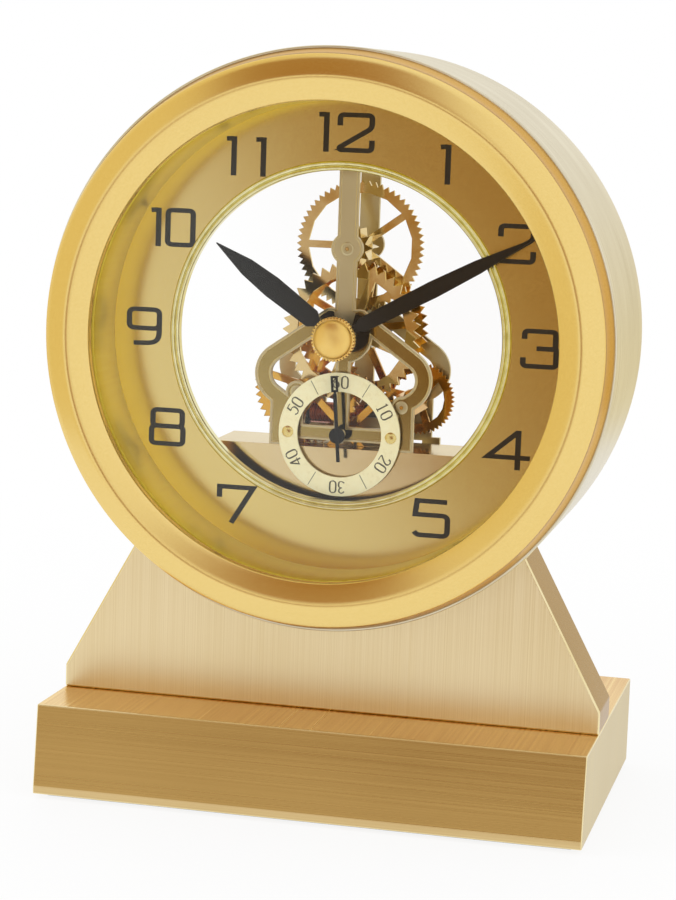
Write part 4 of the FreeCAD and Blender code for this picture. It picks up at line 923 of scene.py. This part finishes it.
# %% Halves of a room
def tilted(degrees, sign):
    """The side of a plane that dips down to the front; sign 1 is the side above it, -1 the one below."""
    angle = math.radians(degrees)
    return Vector((0.0, math.sin(angle), math.cos(angle))) * sign


def beyond(tree, direction, edge, soft):
    """1 where a direction lies past an edge, 0 before it, and a soft step between."""
    product = tree.nodes.new("ShaderNodeVectorMath")
    product.operation = "DOT_PRODUCT"
    product.inputs[1].default_value = edge.normalized()
    tree.links.new(direction, product.inputs[0])
    step = tree.nodes.new("ShaderNodeMapRange")
    step.interpolation_type = "SMOOTHSTEP"
    step.inputs["From Min"].default_value = -soft
    step.inputs["From Max"].default_value = soft
    tree.links.new(product.outputs["Value"], step.inputs["Value"])
    return step.outputs["Result"]


def joined(tree, operation, values):
    """The largest or the smallest of several values."""
    result = values[0]
    for value in values[1:]:
        node = tree.nodes.new("ShaderNodeMath")
        node.operation = operation
        tree.links.new(result, node.inputs[0])
        tree.links.new(value, node.inputs[1])
        result = node.outputs["Value"]
    return result


print("the upper half of a level plane looks to", tuple(tilted(0, 1)))

# %% Colours and edges of the room
WHITE = (1.0, 1.0, 1.0)
DIM_COLOR = (0.38, 0.19, 0.04)
WARM_COLOR = (0.86, 0.76, 0.48)
EVEN_LIGHT = (0.95, 0.95, 0.95)
# each edge is the way its half looks, and how soft it is
LEFT = (Vector((-1.0, 0.30, -0.6)), 0.03)
RIGHT = (Vector((1.0, 0.09, 0.0)), 0.14)
ABOVE_DIM = (tilted(58, 1), 0.12)
BELOW_DIM = (tilted(-12, -1), 0.05)
BAND_FLOOR = (tilted(6, 1), 0.06)
BAND_CEILING = (tilted(20, -1), 0.06)
BACK = (Vector((0, 1, 0)), 0.5)
BELOW_LEVEL = (tilted(-6, -1), 0.35)
WARM_LEFT = (Vector((-0.82, 0.57, 0.0)), 0.15)
FRONT = (Vector((0, -1, 0)), 0.3)
print("the dim space and the warm side are", DIM_COLOR, WARM_COLOR)

# %% World
def studio_world():
    world = bpy.data.worlds.new("studio")
    world.use_nodes = True
    bpy.context.scene.world = world
    tree = world.node_tree
    direction = tree.nodes.new("ShaderNodeTexCoord").outputs["Generated"]

    def halves(operation, *edges):
        return joined(tree, operation, [beyond(tree, direction, way, soft) for way, soft in edges])

    band = halves("MINIMUM", BAND_FLOOR, BAND_CEILING)
    bright = joined(tree, "MAXIMUM", [halves("MAXIMUM", LEFT, RIGHT, ABOVE_DIM, BELOW_DIM), band])
    warm = joined(tree, "MAXIMUM", [halves("MINIMUM", BACK, BELOW_LEVEL),
                                    halves("MINIMUM", WARM_LEFT, FRONT)])
    mirrored = mix_colors(tree, bright, DIM_COLOR, mix_colors(tree, warm, WHITE, WARM_COLOR))
    light = mix_colors(tree, watched(tree, MIRRORED_RAYS), EVEN_LIGHT, mirrored)
    total = mix_colors(tree, watched(tree, ("Is Camera Ray",)), light, WHITE)
    background = tree.nodes["Background"]
    background.inputs["Strength"].default_value = 1.0
    tree.links.new(total, background.inputs["Color"])
    return world


print("world:", studio_world().name)

# %% [markdown]
# Three large, weak lamps give matt parts a gentle side and a soft shadow. They could be small and strong,
# but then each would leave a hard white spot on the gold. They are also kept out of mirrors.

# %% Lamps
LAMP_SIZE = 1.2


def lamp(name, place, target, watts):
    bpy.ops.object.light_add(type="AREA", location=place)
    light = bpy.context.active_object
    light.name = name
    light.data.shape = "SQUARE"
    light.data.size = LAMP_SIZE
    light.data.energy = watts
    light.visible_glossy = False
    light.rotation_euler = (Vector(target) - Vector(place)).to_track_quat("-Z", "Y").to_euler()
    print(name, "lamp,", watts, "W")


MIDDLE = (0, 0, 0.11)
lamp("key", (-1.4, -0.5, 0.9), MIDDLE, 6)
lamp("fill", (1.4, -0.7, 0.9), MIDDLE, 4)
lamp("back", (-0.3, 1.3, 1.0), MIDDLE, 2)

# %% [markdown]
# The camera looks from a little to the right and a little above, with a long lens that keeps circles
# nearly round. It could be aimed with a constraint; here its three axes are worked out, so that the
# small roll can be given as well.

# %% Camera
AZIMUTH, ELEVATION, ROLL = (math.radians(v) for v in (13.3, 8.26, 2.0))
AIM = Vector((6.3, FRONT_EDGE, 101.14)) * MM
DISTANCE = 0.64621
LENS, SENSOR_WIDTH = 99.05, 36


def add_camera():
    backward = Vector((math.sin(AZIMUTH) * math.cos(ELEVATION), -math.cos(AZIMUTH) * math.cos(ELEVATION),
                       math.sin(ELEVATION)))
    level = Vector((0, 0, 1)).cross(backward).normalized()
    upward = backward.cross(level)
    right = level * math.cos(ROLL) + upward * math.sin(ROLL)
    up = upward * math.cos(ROLL) - level * math.sin(ROLL)
    bpy.ops.object.camera_add(location=(0, 0, 0))
    camera = bpy.context.active_object
    camera.name = "camera"
    turn = Matrix((right, up, backward)).transposed().to_4x4()
    camera.matrix_world = Matrix.Translation(AIM + backward * DISTANCE) @ turn
    camera.data.lens = LENS
    camera.data.sensor_width = SENSOR_WIDTH
    camera.data.sensor_fit = "AUTO"
    camera.data.clip_start = 0.01
    bpy.context.scene.camera = camera
    return camera


print("camera at", [round(v, 3) for v in add_camera().matrix_world.translation])
bpy.context.scene.view_settings.view_transform = "Standard"
